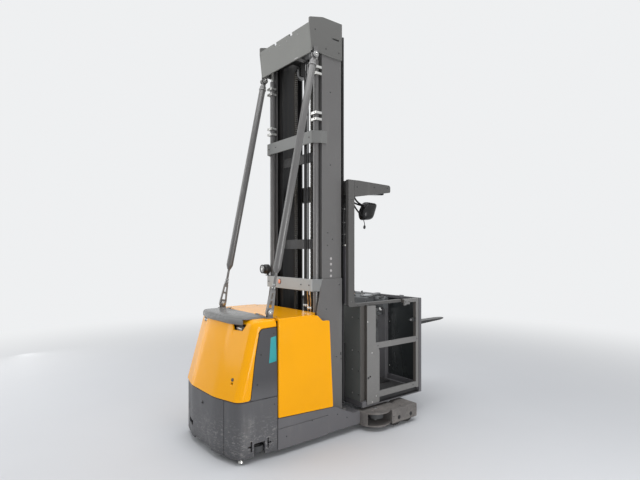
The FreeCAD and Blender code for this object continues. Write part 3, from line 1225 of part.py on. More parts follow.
def make_gate():
    """Side gate: pierced hinge plate, two bars, a stile and the return under the rail."""
    outer = CAB_HALF
    inner = outer - GATE_WALL / 2.0
    plate = plate_x([
        (GATE_START, GATE_BOTTOM),
        (GATE_POST_LOW, GATE_BOTTOM, 10.0),
        (GATE_POST_LOW, GATE_MID[0] - 20.0, 20.0),
        (GATE_POST_HIGH, GATE_MID[1] + 10.0, 20.0),
        (GATE_POST_HIGH, GATE_POST_TOP, 6.0),
        (GATE_START, GATE_POST_TOP, 6.0),
    ], inner, outer)
    hole = rod((outer, GATE_START + 40.0, 462.0), (1, 0, 0), 9.0, 60.0)
    flange = block(outer - GATE_WALL, outer, GATE_START, GATE_START + GATE_FLANGE, GATE_LOW, GATE_POST_TOP)
    low = block(inner, outer, GATE_START, GATE_END, GATE_LOW, GATE_LOW + GATE_BAR)
    mid = block(inner, outer, GATE_START, GATE_END, GATE_MID[0], GATE_MID[1])
    stile = block(outer - GATE_WALL, outer, GATE_END - GATE_STILE, GATE_END, GATE_LOW - 6.0, CAB_RAIL_TOP)
    back = block(outer - GATE_WALL, outer, GATE_END - GATE_RETURN, GATE_END,
                 CAB_RAIL_TOP - 34.0, CAB_RAIL_TOP)
    tab = block(outer - 12.0, outer, GATE_END - GATE_RETURN, GATE_END - GATE_RETURN + 40.0,
                CAB_RAIL_TOP - 60.0, CAB_RAIL_TOP)
    gate = fused(plate.cut(hole), flange, low, mid, stile, back, tab)
    for z in (GATE_BOTTOM, GATE_POST_TOP):
        bore = rod((GATE_PIVOT_X, GATE_PIVOT_Y, z), (0, 0, 1), GATE_PIN_R + PIN_GAP, 2.0 * GATE_PIN_DEEP)
        gate = gate.cut(bore)
    return gate


# Forks


def make_fork_mast():
    """Short mast on the load side with two channels and a middle cover."""
    y0 = CAB_FRONT
    y1 = CAB_FRONT + FORK_MAST_DEPTH
    web = block(FORK_MAST_HALF - FORK_MAST_WALL, FORK_MAST_HALF, y0, y1, CAB_BOTTOM, CAB_RAIL_TOP)
    lips = []
    for y in (y0, y1 - FORK_MAST_WALL):
        lips.append(block(FORK_MAST_HALF - FORK_MAST_LIP, FORK_MAST_HALF, y, y + FORK_MAST_WALL,
                          CAB_BOTTOM, CAB_RAIL_TOP))
    rail = fused(web, *lips)
    cover = block(-80.0, 80.0, y0, y1 - 12.0, CAB_BOTTOM, CAB_RAIL_TOP - 20.0)
    foot = block(-FORK_MAST_HALF, FORK_MAST_HALF, y0, y0 + FORK_MAST_WALL, CAB_BOTTOM, CAB_BOTTOM + 60.0)
    return fused(rail, mirrored(rail), cover, foot)


def make_fork_carriage():
    """Carriage plate with its guide blocks in the channels."""
    y0 = CAB_FRONT + FORK_MAST_DEPTH + RUN_GAP
    y1 = y0 + FORK_CARRIAGE_WALL
    low = FORK_SHANK_TOP - FORK_CARRIAGE_HEIGHT
    plates = []
    for z in (low + 10.0, FORK_SHANK_TOP - 70.0):
        plates.append(block(-FORK_CARRIAGE_HALF, FORK_CARRIAGE_HALF, y0, y1, z, z + 60.0))
    shoe_out = FORK_MAST_HALF - FORK_MAST_WALL - RUN_GAP
    neck_out = FORK_MAST_HALF - FORK_MAST_LIP - RUN_GAP
    shoe = block(100.0, shoe_out, CAB_FRONT + FORK_MAST_WALL + SLIDE_GAP,
                 CAB_FRONT + FORK_MAST_DEPTH - FORK_MAST_WALL - SLIDE_GAP, low + 10.0, FORK_SHANK_TOP - 10.0)
    neck = block(100.0, neck_out, CAB_FRONT + FORK_MAST_WALL + RUN_GAP, y1, low + 10.0,
                 FORK_SHANK_TOP - 10.0)
    return fused(*plates, *both(shoe.fuse(neck)))


def make_forks():
    """Two forged forks: upright shank, tight heel and tapering blade."""
    y0 = CAB_FRONT + FORK_MAST_DEPTH + RUN_GAP + FORK_CARRIAGE_WALL
    profile = plate_x([
        (y0, FORK_SHANK_TOP),
        (y0, FORK_TOP_Z - FORK_THICK, 30.0),
        (FORK_TIP, FORK_TOP_Z - FORK_TIP_THICK, 4.0),
        (FORK_TIP, FORK_TOP_Z, 4.0),
        (y0 + FORK_THICK, FORK_TOP_Z, 12.0),
        (y0 + FORK_THICK, FORK_SHANK_TOP),
    ], FORK_X - FORK_WIDTH / 2.0, FORK_X + FORK_WIDTH / 2.0)
    nose = plate_z([
        (FORK_X - FORK_WIDTH / 2.0, y0 - 1.0),
        (FORK_X + FORK_WIDTH / 2.0, y0 - 1.0),
        (FORK_X + FORK_WIDTH / 2.0, FORK_TIP - 90.0, 60.0),
        (FORK_X + 24.0, FORK_TIP, 20.0),
        (FORK_X - 24.0, FORK_TIP, 20.0),
        (FORK_X - FORK_WIDTH / 2.0, FORK_TIP - 90.0, 60.0),
    ], 0.0, FORK_SHANK_TOP + 10.0)
    return both(profile.common(nose))


def build():
    """Model every node and write its file."""
    os.makedirs("parts", exist_ok=True)
    shell = hood_shell()
    door = make_battery_door()
    gate = make_gate()
    nodes = {
        "chassis_frame": make_chassis(),
        "load_arms": both(make_load_arm()),
        "wheel_axles": make_load_axles(),
        "rear_roller_brackets": make_rear_brackets(),
        "rear_feet": make_rear_feet(),
        "rear_skirt": make_rear_skirt(shell),
        "rear_hood": make_rear_hood(shell),
        "hood_lid": make_lid(),
        "battery_cover": make_top_cover(),
        "battery": make_battery(),
        "battery_door_right": door,
        "battery_door_left": mirrored(door),
        "steer_turntable": make_turntable(),
        "drive_motor": make_motor(),
        "drive_wheel": make_drive_wheel(),
        "mast_rails": make_mast_rails(),
        "mast_foot_plates": make_foot_plates(),
        "mast_braces": [make_brace(*BRACE_LEVELS["upper"]), make_brace(*BRACE_LEVELS["lower"])],
        "mast_cover": make_mast_cover(),
        "lift_cylinders": make_cylinders(),
        "cylinder_clamps": make_cylinder_clamps(),
        "lift_rods": make_rods(),
        "inner_mast": make_inner_mast(),
        "chain_sheaves": make_sheaves(),
        "stays": make_stays(),
        "stay_links": make_stay_links(),
        "stay_feet": make_stay_feet(),
        "brace_lamp": make_lamp(),
        "cab_floor": make_cab_floor(),
        "cab_rear_wall": make_cab_rear_wall(),
        "cab_carriage": make_cab_carriage(),
        "cab_front_frame": make_cab_front(),
        "cab_front_panels": make_front_panels(),
        "control_console": make_console(),
        "guard_posts": make_guard_posts(),
        "overhead_guard": make_guard(),
        "mirror": make_mirror(),
        "side_gate_right": gate,
        "side_gate_left": mirrored(gate),
        "fork_mast": make_fork_mast(),
        "fork_carriage": make_fork_carriage(),
        "forks": make_forks(),
    }
    rear_strand = SHEAVE_Y - SHEAVE_R
    front_strand = SHEAVE_Y + SHEAVE_R - CHAIN_THICK
    nodes["chains_fixed"] = make_chains(rear_strand - CHAIN_THICK / 2.0 - 8.0, CHAIN_ANCHOR_Z, SHEAVE_Z)
    nodes["chains_moving"] = (make_chains(front_strand, ANCHOR_TOP - ANCHOR_HIGH + 10.0, SHEAVE_Z)
                              + make_chains(rear_strand, CHAIN_ANCHOR_Z + 10.0, SHEAVE_Z))
    for place, station in LOAD_WHEEL_STATIONS.items():
        wheel = make_wheel((LOAD_WHEEL_X, station, LOAD_WHEEL_R), (1, 0, 0), LOAD_WHEEL_R,
                           LOAD_WHEEL_WIDTH, LOAD_AXLE_R)
        nodes["load_wheel_%s_right" % place] = wheel
        nodes["load_wheel_%s_left" % place] = mirrored(wheel)
    rollers = {
        "front": (GUIDE_ROLLER_X, GUIDE_ROLLER_Y, GUIDE_ROLLER_Z, GUIDE_ROLLER_R, GUIDE_ROLLER_HEIGHT),
        "rear": (REAR_ROLLER_X, REAR_ROLLER_Y, REAR_ROLLER_Z, REAR_ROLLER_R, REAR_ROLLER_HEIGHT),
    }
    for place, (x, y, z, radius, height) in rollers.items():
        roller = make_wheel((x, y, z), (0, 0, 1), radius, height, GUIDE_PIN_R)
        nodes["guide_roller_%s_right" % place] = roller
        nodes["guide_roller_%s_left" % place] = mirrored(roller)
    for node, solids in nodes.items():
        save(node, solids)


build()
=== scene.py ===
"""Looks of the order picker truck: finishes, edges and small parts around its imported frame.

Stations are the part's own millimetres: +X is the truck's right side, +Y runs forward from
the seam between rear skirt and chassis sill, +Z is up. at() turns them into frame metres.
"""
import json
import math
import random

import bmesh
import bpy
from mathutils import Matrix, Vector
from mathutils.bvhtree import BVHTree

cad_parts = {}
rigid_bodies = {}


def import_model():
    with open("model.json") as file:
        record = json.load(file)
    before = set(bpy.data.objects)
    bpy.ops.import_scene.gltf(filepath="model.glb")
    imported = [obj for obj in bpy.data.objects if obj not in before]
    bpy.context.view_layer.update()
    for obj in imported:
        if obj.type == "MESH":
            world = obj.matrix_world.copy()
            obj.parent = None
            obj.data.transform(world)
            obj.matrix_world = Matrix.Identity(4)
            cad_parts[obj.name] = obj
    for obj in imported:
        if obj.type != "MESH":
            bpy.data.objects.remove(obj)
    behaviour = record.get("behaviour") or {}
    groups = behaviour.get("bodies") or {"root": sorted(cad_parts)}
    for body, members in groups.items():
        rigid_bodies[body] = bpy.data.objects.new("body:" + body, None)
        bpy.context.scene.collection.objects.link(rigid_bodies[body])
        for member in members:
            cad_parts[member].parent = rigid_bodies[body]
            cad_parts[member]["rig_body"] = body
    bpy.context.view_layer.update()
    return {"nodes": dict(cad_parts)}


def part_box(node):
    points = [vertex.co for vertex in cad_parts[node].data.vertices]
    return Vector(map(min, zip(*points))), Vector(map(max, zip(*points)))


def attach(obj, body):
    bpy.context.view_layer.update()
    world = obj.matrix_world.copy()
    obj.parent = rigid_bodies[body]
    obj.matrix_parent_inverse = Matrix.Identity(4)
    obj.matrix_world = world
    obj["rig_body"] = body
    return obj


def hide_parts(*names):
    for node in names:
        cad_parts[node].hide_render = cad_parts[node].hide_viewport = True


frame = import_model()

MM = 0.001
SKIRT_FRONT = 80.0
SEAM_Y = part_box("rear_skirt")[1].y - SKIRT_FRONT * MM
RNG = random.Random(7)


def at(x, y, z):
    """A station in millimetres as a point in frame metres."""
    return Vector((x * MM, SEAM_Y + y * MM, z * MM))


def link(thing):
    """Put an object into the scene."""
    bpy.context.scene.collection.objects.link(thing)


def add(tree, kind, inputs=None, **settings):
    """New shader node with its settings, and its inputs each set to a value or linked to a socket."""
    node = tree.nodes.new("ShaderNode" + kind)
    for name, value in settings.items():
        setattr(node, name, value)
    for key, value in (inputs or {}).items():
        if isinstance(value, bpy.types.NodeSocket):
            tree.links.new(value, node.inputs[key])
        else:
            node.inputs[key].default_value = value
    return node


# Camera, lights and world

CAMERA = at(3628.4, -1970.4, 1650.0)
CAMERA_TURN = math.radians(51.67)
LENS = 26.36
SENSOR = 36.0
HORIZON_SHIFT = 9.0 / 640.0
CLIP_END = 200.0
BACKDROP = (0.86, 0.87, 0.88, 1.0)
AMBIENT, AMBIENT_STRENGTH = (0.93, 0.96, 1.0, 1.0), 0.42
WHITE = (1.0, 1.0, 1.0)

# Name, place, point that it looks at, width, height, watts, colour
LIGHTS = [
    ("overhead", (0.4, -0.4, 6.6), (0.0, 0.0, 0.0), 6.0, 6.0, 330.0, WHITE),
    ("window", (-3.6, -6.2, 3.8), (0.0, 0.0, 2.2), 4.6, 4.6, 172.0, (1.0, 0.995, 0.985)),
    ("strip_near", (-4.6, -3.1, 1.35), (0.0, -1.3, 0.8), 0.30, 2.6, 8.5, WHITE),
    ("strip_far", (-4.9, -2.1, 1.35), (0.0, -1.3, 0.8), 0.16, 2.6, 5.0, WHITE),
    ("fill", (5.2, -0.6, 1.1), (0.3, -0.4, 0.6), 2.0, 2.0, 105.0, (1.0, 0.99, 0.98)),
]


def make_camera():
    """Level camera at the photograph's place."""
    data = bpy.data.cameras.new("camera")
    data.sensor_width = SENSOR
    data.lens = LENS
    data.shift_y = HORIZON_SHIFT
    data.clip_end = CLIP_END
    camera = bpy.data.objects.new("camera", data)
    camera.location = CAMERA
    camera.rotation_euler = (math.pi / 2.0, 0.0, CAMERA_TURN)
    link(camera)
    bpy.context.scene.camera = camera


def make_lights():
    """Soft overhead light, a window side and two tall strips from the rear left, and a weak fill."""
    for name, place, aim, width, height, power, colour in LIGHTS:
        data = bpy.data.lights.new(name, "AREA")
        data.shape = "RECTANGLE"
        data.size = width
        data.size_y = height
        data.energy = power
        data.color = colour
        lamp = bpy.data.objects.new(name, data)
        lamp.location = place
        lamp.rotation_euler = (Vector(aim) - Vector(place)).to_track_quat("-Z", "Y").to_euler()
        link(lamp)


def make_world():
    """Even backdrop for the camera, reflections and glass, and a weaker light on the surfaces."""
    world = bpy.data.worlds.new("studio")
    world.use_nodes = True
    tree = world.node_tree
    tree.nodes.clear()
    rays = add(tree, "LightPath").outputs

    def either(a, b):
        return add(tree, "Math", {0: a, 1: b}, operation="MAXIMUM").outputs[0]

    through = either(rays["Is Glossy Ray"], rays["Is Transmission Ray"])
    seen = either(rays["Is Camera Ray"], through)
    ambient = add(tree, "Background", {"Color": AMBIENT, "Strength": AMBIENT_STRENGTH})
    backdrop = add(tree, "Background", {"Color": BACKDROP})
    mix = add(tree, "MixShader", {0: seen, 1: ambient.outputs[0], 2: backdrop.outputs[0]})
    add(tree, "OutputWorld", {"Surface": mix.outputs[0]})
    bpy.context.scene.world = world


# Finishes

FLOOR_HALF = 80.0
FLOOR_FADE = (2.0, 8.0)     # metres from the middle where the floor turns into the backdrop
COAT_ROUGHNESS = 0.12
FACING = (0.6, 0.9)         # cosine to an axis from which a face looks along it
RIB_PITCH = 0.012


def shade(colour, factor, lift=0.0):
    """Colour made lighter or darker, up to full."""
    return [min(1.0, c * factor + lift) for c in colour]


class Finish:
    """Procedural material: a base colour with layers of variation, wear and bump."""

    def __init__(self, name, colour, roughness, metallic=0.0, coat=0.0, specular=0.5):
        self.material = bpy.data.materials.new(name)
        self.material.use_nodes = True
        self.material.diffuse_color = tuple(colour) + (1.0,)
        self.tree = self.material.node_tree
        self.tree.nodes.clear()
        self.colour = self.add("RGB").outputs[0]
        self.colour.default_value = tuple(colour) + (1.0,)
        self.rough = roughness
        self.height = None
        self.shader = self.add("BsdfPrincipled", {
            "Base Color": self.colour, "Metallic": metallic, "Roughness": roughness, "Coat Weight": coat,
            "Coat Roughness": COAT_ROUGHNESS, "Specular IOR Level": specular})
        self.out = self.add("OutputMaterial", {"Surface": self.shader.outputs[0]})
        coords = self.add("TexCoord").outputs
        self.place, self.normal = coords["Object"], coords["Normal"]

    def add(self, kind, inputs=None, **settings):
        """New node in this material."""
        return add(self.tree, kind, inputs, **settings)

    def feed(self, name, socket):
        """Link a socket to an input of the surface."""
        self.tree.links.new(socket, self.shader.inputs[name])
        return self

    def noise(self, scale, detail=3.0, stretch=(1.0, 1.0, 1.0), rough=0.55):
        """Noise in the frame's own metres, stretched along an axis."""
        spot = self.add("Mapping", {"Scale": stretch, "Vector": self.place}).outputs[0]
        return self.add("TexNoise", {"Scale": scale, "Detail": detail, "Roughness": rough,
                                     "Vector": spot}).outputs["Fac"]

    def ramp(self, value, low, high):
        """Smooth step of a value from 0 at low to 1 at high, or the other way round."""
        rises = 1.0 if low < high else 0.0
        step = {"Value": value, "From Min": min(low, high), "From Max": max(low, high),
                "To Min": 1.0 - rises, "To Max": rises}
        return self.add("MapRange", step, interpolation_type="SMOOTHSTEP").outputs[0]

    def patches(self, low, high, *noise, **options):
        """Noise cut to patches: 0 below low, 1 above high."""
        return self.ramp(self.noise(*noise, **options), low, high)

    def math(self, operation, a, b):
        """Arithmetic on two values, each a socket or a number."""
        return self.add("Math", {0: a, 1: b}, operation=operation).outputs[0]

    def scaled(self, value, factor):
        """A value times a number."""
        return self.math("MULTIPLY", value, factor)

    def towards(self, letter, sign):
        """1 on the faces that look along an axis of the frame, 0 elsewhere."""
        split = self.add("SeparateXYZ", {0: self.normal})
        return self.ramp(self.scaled(split.outputs[letter], sign), *FACING)

    def axis(self, letter):
        """One coordinate of the frame in metres."""
        return self.add("SeparateXYZ", {0: self.place}).outputs[letter]

    def vary(self, mask, colour, amount=1.0):
        """Lay a colour over the base where the mask is high."""
        layer = {"Factor": self.scaled(mask, amount), "A": self.colour, "B": tuple(colour) + (1.0,)}
        self.colour = self.add("Mix", layer, data_type="RGBA").outputs["Result"]
        return self.feed("Base Color", self.colour)

    def roughen(self, mask, amount):
        """Add roughness where the mask is high."""
        self.rough = self.math("ADD", self.rough, self.scaled(mask, amount))
        return self.feed("Roughness", self.rough)

    def bump(self, height, distance):
        """Relief of a mask in metres, on top of the relief before it."""
        before = {} if self.height is None else {"Normal": self.height}
        self.height = self.add("Bump", {"Distance": distance, "Height": height, **before}).outputs[0]
        return self.feed("Normal", self.height)


def make_floor():
    """Pale floor that keeps the shadow near the truck and fades into the backdrop."""
    mesh = bpy.data.meshes.new("floor")
    ends = (-FLOOR_HALF, FLOOR_HALF)
    mesh.from_pydata([(x, y, 0.0) for x in ends for y in ends], [], [(0, 2, 3, 1)])
    floor = bpy.data.objects.new("floor", mesh)
    link(floor)
    coat = Finish("floor", (0.60, 0.61, 0.63), 0.7, specular=0.15)
    coat.vary(coat.noise(1.6, 4.0), (0.56, 0.57, 0.59), 0.5)
    away = coat.add("VectorMath", {0: coat.place}, operation="LENGTH").outputs["Value"]
    far = coat.ramp(away, *FLOOR_FADE)
    glow = coat.add("Emission", {"Color": BACKDROP})
    mix = coat.add("MixShader", {0: far, 1: coat.shader.outputs[0], 2: glow.outputs[0]})
    coat.tree.links.new(mix.outputs[0], coat.out.inputs["Surface"])
    mesh.materials.append(coat.material)


def gloss_paint(name, colour, dust):
    """Smooth sprayed paint with faint orange peel, dust and fine scratches."""
    coat = Finish(name, colour, 0.15, coat=0.10, specular=0.14)
    coat.vary(coat.patches(0.35, 0.75, 2.2, 3.0), shade(colour, 0.93), 0.6)
    grime = coat.patches(0.56, 0.74, 7.0, 6.0, (1.0, 1.0, 0.5))
    coat.vary(grime, dust, 0.03)
    coat.vary(coat.patches(0.66, 0.70, 60.0, 2.0, (1.0, 1.0, 0.06)), shade(colour, 1.25, 0.02), 0.05)
    coat.roughen(grime, 0.10).roughen(coat.noise(30.0), 0.04)
    return coat.bump(coat.noise(260.0, 1.0), 0.00002)


# Scale, stretch and threshold of the scuff layers, from scrapes to broad rubbing
SCUFFS = ((26.0, (1.0, 1.0, 3.0), 0.545), (70.0, (0.5, 0.5, 1.6), 0.56), (8.0, (1.0, 1.0, 0.5), 0.56))


def satin_paint(name, colour, worn, scuff_below=0.0, scuff=0.0):
    """Textured machine paint with dust, streaks and scuffs near the floor."""
    coat = Finish(name, colour, 0.42, specular=0.32)
    coat.vary(coat.patches(0.30, 0.75, 1.8, 4.0), shade(colour, 0.88), 0.7)
    coat.vary(coat.patches(0.56, 0.78, 14.0, 4.0, (1.0, 1.0, 0.12)), worn, 0.14)
    coat.vary(coat.patches(0.70, 0.76, 95.0, 3.0), worn, 0.30)
    if scuff > 0.0:
        low = coat.ramp(coat.axis("Z"), scuff_below, scuff_below * 0.30)
        for scale, stretch, start in SCUFFS:
            mark = coat.math("MULTIPLY", low, coat.patches(start, start + 0.07, scale, 9.0, stretch, 0.75))
            coat.vary(mark, worn, scuff).roughen(mark, 0.15)
        # Darker towards the floor, below 0.16 m.
        coat.vary(coat.ramp(coat.axis("Z"), 0.16, 0.04), shade(colour, 0.5), 0.5)
    coat.roughen(coat.noise(9.0, 4.0), 0.12)
    return coat.bump(coat.noise(520.0, 2.0), 0.00022)


def gloss_grey(name, colour):
    """Smooth grey enamel on round tubes, with rubbed streaks along them."""
    coat = Finish(name, colour, 0.30, coat=0.15)
    coat.vary(coat.patches(0.35, 0.75, 2.4, 3.0), shade(colour, 0.86), 0.6)
    rub = coat.patches(0.60, 0.72, 40.0, 5.0, (1.0, 0.5, 0.12))
    coat.vary(rub, shade(colour, 1.9), 0.35).roughen(rub, 0.15)
    return coat.bump(coat.noise(300.0, 2.0), 0.0001)


def gate_paint():
    """Gate paint, with painted shade: a dark brown colour on the faces that look rearward."""
    coat = satin_paint("gate_paint", (0.185, 0.182, 0.178), (0.36, 0.34, 0.31), 1.1, 0.16)
    # Painted shade on the rear-facing faces of the gate.
    return coat.vary(coat.towards("Y", -1.0), (0.070, 0.060, 0.052), 0.8)


def skirt_paint():
    """Skirt paint, scuffed at the floor and darker up the flanks."""
    coat = satin_paint("skirt_paint", (0.099, 0.099, 0.105), (0.38, 0.37, 0.36), 0.42, 0.50)
    return coat.vary(coat.ramp(coat.axis("Z"), 0.46, 0.66), (0.046, 0.046, 0.051), 0.85)


def shade_flanks(coat, flank, amount=0.85):
    """Painted shade: the faces across the truck get a darker colour, as if less light fell on them."""
    for sign in (1.0, -1.0):
        coat.vary(coat.towards("X", sign), flank, amount)
    return coat


def brace_paint():
    """Brace paint with light and shade painted in: pale with painted light on the lower brace, painted shade
    on the upper one and on the ends.
    """
    coat = satin_paint("brace_paint", (0.385, 0.410, 0.420), (0.48, 0.48, 0.47))
    # Painted shade: darker from 1.6 m up, on the upper brace.
    coat.vary(coat.ramp(coat.axis("Z"), 1.6, 2.4), (0.185, 0.188, 0.183))
    # Painted shade on the brace's ends, the faces across the truck.
    return shade_flanks(coat, (0.150, 0.150, 0.147), 0.8)


def ribbed_mat():
    """Rubber mat with fine ribs across the truck and trodden dust."""
    coat = Finish("floor_mat", (0.030, 0.030, 0.031), 0.68, specular=0.35)
    coat.vary(coat.patches(0.42, 0.72, 5.0, 6.0), (0.16, 0.15, 0.14), 0.45)
    rib = coat.math("SINE", coat.scaled(coat.axis("Y"), 2.0 * math.pi / RIB_PITCH), 0.0)
    return coat.bump(rib, 0.0009).bump(coat.noise(300.0, 2.0), 0.0002)


def bare_metal(name, colour, roughness, dirt, amount):
    """Metal with fine brushing and dirt in patches."""
    coat = Finish(name, colour, roughness, metallic=0.9)
    patch = coat.patches(0.48, 0.70, 22.0, 5.0)
    coat.vary(patch, dirt, amount).roughen(patch, 0.25)
    coat.roughen(coat.noise(180.0, 2.0, (1.0, 1.0, 0.15)), 0.10)
    return coat.bump(coat.noise(260.0, 3.0, (1.0, 1.0, 0.3)), 0.00015)


def greased_steel(name, colour, sheen):
    """Dark rolled steel with vertical grease streaks."""
    coat = Finish(name, colour, 0.36, metallic=0.35)
    streak = coat.patches(0.45, 0.70, 26.0, 5.0, (1.0, 1.0, 0.05))
    coat.vary(streak, sheen, 0.5).roughen(streak, 0.22)
    return coat.bump(coat.noise(140.0, 4.0), 0.0002)


def rough_casting(name, colour, worn, dark):
    """Worn primer over a casting, with rubbed patches and dark pits."""
    coat = Finish(name, colour, 0.62, metallic=0.15, specular=0.4)
    coat.vary(coat.patches(0.42, 0.66, 9.0, 6.0, rough=0.65), worn, 0.75)
    coat.vary(coat.patches(0.58, 0.72, 45.0, 5.0), dark, 0.55)
    coat.vary(coat.patches(0.66, 0.72, 34.0, 4.0, (0.3, 1.0, 1.0)), shade(worn, 1.9), 0.5)
    return coat.bump(coat.noise(120.0, 6.0), 0.0006)


def moulded(name, colour, roughness, grain=700.0, depth=0.00012, dust=0.25, specular=0.36):
    """Moulded plastic or rubber with a fine grain and pale dust."""
    coat = Finish(name, colour, roughness, specular=specular)
    cloud = coat.patches(0.45, 0.72, 6.0, 5.0)
    coat.vary(cloud, shade(colour, 0.6, 0.09), dust).roughen(cloud, 0.15)
    return coat.bump(coat.noise(grain, 2.0), depth)


def glassy(name, colour, roughness, coat_weight=1.0, specular=0.6):
    """Smooth dark plate or lens with streaks of polish."""
    coat = Finish(name, colour, roughness, coat=coat_weight, specular=specular)
    smear = coat.patches(0.48, 0.74, 5.0, 4.0, (1.0, 0.6, 0.25))
    return coat.vary(smear, shade(colour, 0.7, 0.03), 0.35).roughen(smear, 0.12)


def finishes():
    """Every material by the name that this script uses."""
    cover = satin_paint("cover_paint", (0.186, 0.188, 0.178), (0.33, 0.32, 0.30))
    wall = satin_paint("wall_paint", (0.150, 0.156, 0.149), (0.30, 0.30, 0.29))
    table = {
        "yellow": gloss_paint("yellow_paint", (0.895, 0.385, 0.001), (0.60, 0.36, 0.10)),
        "grey": satin_paint("grey_paint", (0.125, 0.123, 0.130), (0.30, 0.29, 0.28)),
        "skirt": skirt_paint(),
        "mast": satin_paint("mast_paint", (0.130, 0.127, 0.126), (0.27, 0.26, 0.25)),
        # Painted shade on the cover's flanks: a darker copy of its paint on the faces across the truck.
        "cover": shade_flanks(cover, (0.100, 0.099, 0.096)),
        "brace": brace_paint(),
        "guard": satin_paint("guard_paint", (0.090, 0.088, 0.086), (0.24, 0.23, 0.22)),
        "gate": gate_paint(),
        "link": gloss_grey("link_paint", (0.175, 0.173, 0.172)),
        "stay": gloss_grey("stay_paint", (0.120, 0.117, 0.116)),
        # Painted shade on the wall's flanks: a darker colour on the faces across the truck.
        "wall": shade_flanks(wall, (0.056, 0.049, 0.045)),
        "dark": greased_steel("dark_steel", (0.030, 0.030, 0.031), (0.085, 0.083, 0.080)),
        "inner": greased_steel("inner_mast_steel", (0.020, 0.020, 0.021), (0.055, 0.052, 0.048)),
        "chain": greased_steel("chain_steel", (0.060, 0.055, 0.048), (0.14, 0.12, 0.09)),
        "duct": greased_steel("duct_steel", (0.050, 0.047, 0.054), (0.10, 0.10, 0.11)),
        "bright": bare_metal("bright_steel", (0.62, 0.62, 0.60), 0.26, (0.22, 0.20, 0.17), 0.35),
        "zinc": bare_metal("grey_steel", (0.30, 0.30, 0.30), 0.38, (0.10, 0.09, 0.08), 0.5),
        "copper": bare_metal("copper_pipe", (0.60, 0.34, 0.12), 0.34, (0.25, 0.17, 0.08), 0.5),
        "mirror_glass": bare_metal("mirror_glass", (0.82, 0.83, 0.84), 0.05, (0.5, 0.5, 0.5), 0.08),
        "casting": rough_casting("casting", (0.135, 0.126, 0.120), (0.215, 0.198, 0.185),
                                 (0.05, 0.045, 0.042)),
        "lid": moulded("lid_plastic", (0.170, 0.170, 0.168), 0.26, 420.0, 0.00012, 0.15, 0.18),
        "black": moulded("black_plastic", (0.018, 0.018, 0.019), 0.42),
        "pit": moulded("shaded_plastic", (0.008, 0.008, 0.008), 0.60, specular=0.10),
        "rubber": moulded("rubber", (0.028, 0.028, 0.028), 0.72, 260.0, 0.0003, 0.4),
        "tyre": moulded("tyre", (0.040, 0.039, 0.038), 0.66, 180.0, 0.0004, 0.5),
        "roller": moulded("roller", (0.050, 0.052, 0.054), 0.50, 240.0, 0.0003, 0.4),
        "hose": moulded("hose", (0.022, 0.022, 0.023), 0.55, 500.0, 0.0002, 0.3),
        "moulded_grey": moulded("grey_plastic", (0.22, 0.22, 0.22), 0.45, 500.0, 0.0001, 0.15),
        "console": moulded("console_plastic", (0.105, 0.110, 0.114), 0.45, 500.0, 0.0001, 0.15),
        "teal": moulded("teal_label", (0.02, 0.30, 0.32), 0.38, 300.0, 0.00005, 0.1),
        "white": moulded("white_label", (0.72, 0.72, 0.70), 0.40, 300.0, 0.00005, 0.1),
        "pale": moulded("pale_label", (0.40, 0.38, 0.38), 0.45, 300.0, 0.00005, 0.2),
        "panel": glassy("dark_panel", (0.026, 0.030, 0.031), 0.22, 0.5),
        "gloss_black": glassy("gloss_black", (0.006, 0.006, 0.006), 0.22, 0.10, 0.22),
        "lens": glassy("dark_lens", (0.10, 0.105, 0.11), 0.06),
        "red": glassy("red_plastic", (0.55, 0.02, 0.015), 0.3),
        "orange": glassy("orange_reflector", (0.80, 0.20, 0.03), 0.2),
        "screen": glassy("display", (0.030, 0.045, 0.060), 0.10),
        "mat": ribbed_mat(),
    }
    return {name: coat.material for name, coat in table.items()}


make_camera()
make_lights()
make_world()
make_floor()
PAINT = finishes()


# Dressing of the solids

WELD = 0.00002                  # vertices closer than this are one, in metres
FLAT = math.radians(0.6)        # faces that bend less than this are joined
AREA_LOSS = 0.0005              # share of its area that joining may cost a solid
SOLID_ANGLE, EDGE_ANGLE = 32.0, 34.0
BEVEL_TRIES = ((1.0, False), (0.5, False), (0.25, False), (1.0, True))     # share of the width, clamped
BEVEL_SHARE = 0.45              # widest bevel as a share of a block's side
MAX_SPIKE = 0.0002
AREA_RANGE = (0.85, 1.01)


def soften(mesh, sharp_degrees):
    """Smooth shading that keeps the real edges."""
    mesh.shade_smooth()
    mesh.set_sharp_from_angle(angle=math.radians(sharp_degrees))


def corners(vertices):
    """Lowest and highest corner round vertices."""
    points = [vertex.co for vertex in vertices]
    low = Vector([min(point[i] for point in points) for i in range(3)])
    high = Vector([max(point[i] for point in points) for i in range(3)])
    return low, high


def round_edges(piece, width):
    """Rounding of the real edges, as wide as the shape takes without spikes."""
    bevel = piece.modifiers.new("edges", "BEVEL")
    bevel.segments = 2
    bevel.limit_method = "ANGLE"
    bevel.angle_limit = math.radians(EDGE_ANGLE)
    bevel.harden_normals = True
    low, high = corners(piece.data.vertices)
    plain = sum(face.area for face in piece.data.polygons)
    for share, clamp in BEVEL_TRIES:
        bevel.width = width * share
        bevel.use_clamp_overlap = clamp
        shown = piece.evaluated_get(bpy.context.evaluated_depsgraph_get())
        made = shown.to_mesh()
        made.calc_loop_triangles()
        area = sum(triangle.area for triangle in made.loop_triangles)
        new_low, new_high = corners(made.vertices)
        shown.to_mesh_clear()
        spike = max(max(low - new_low), max(new_high - high))
        if spike < MAX_SPIKE and AREA_RANGE[0] * plain < area < AREA_RANGE[1] * plain:
            break


def triangle_area(loops):
    """Area of a triangle given by three loops."""
    a, b, c = (loop.vert.co for loop in loops)
    return (b - a).cross(c - a).length / 2.0


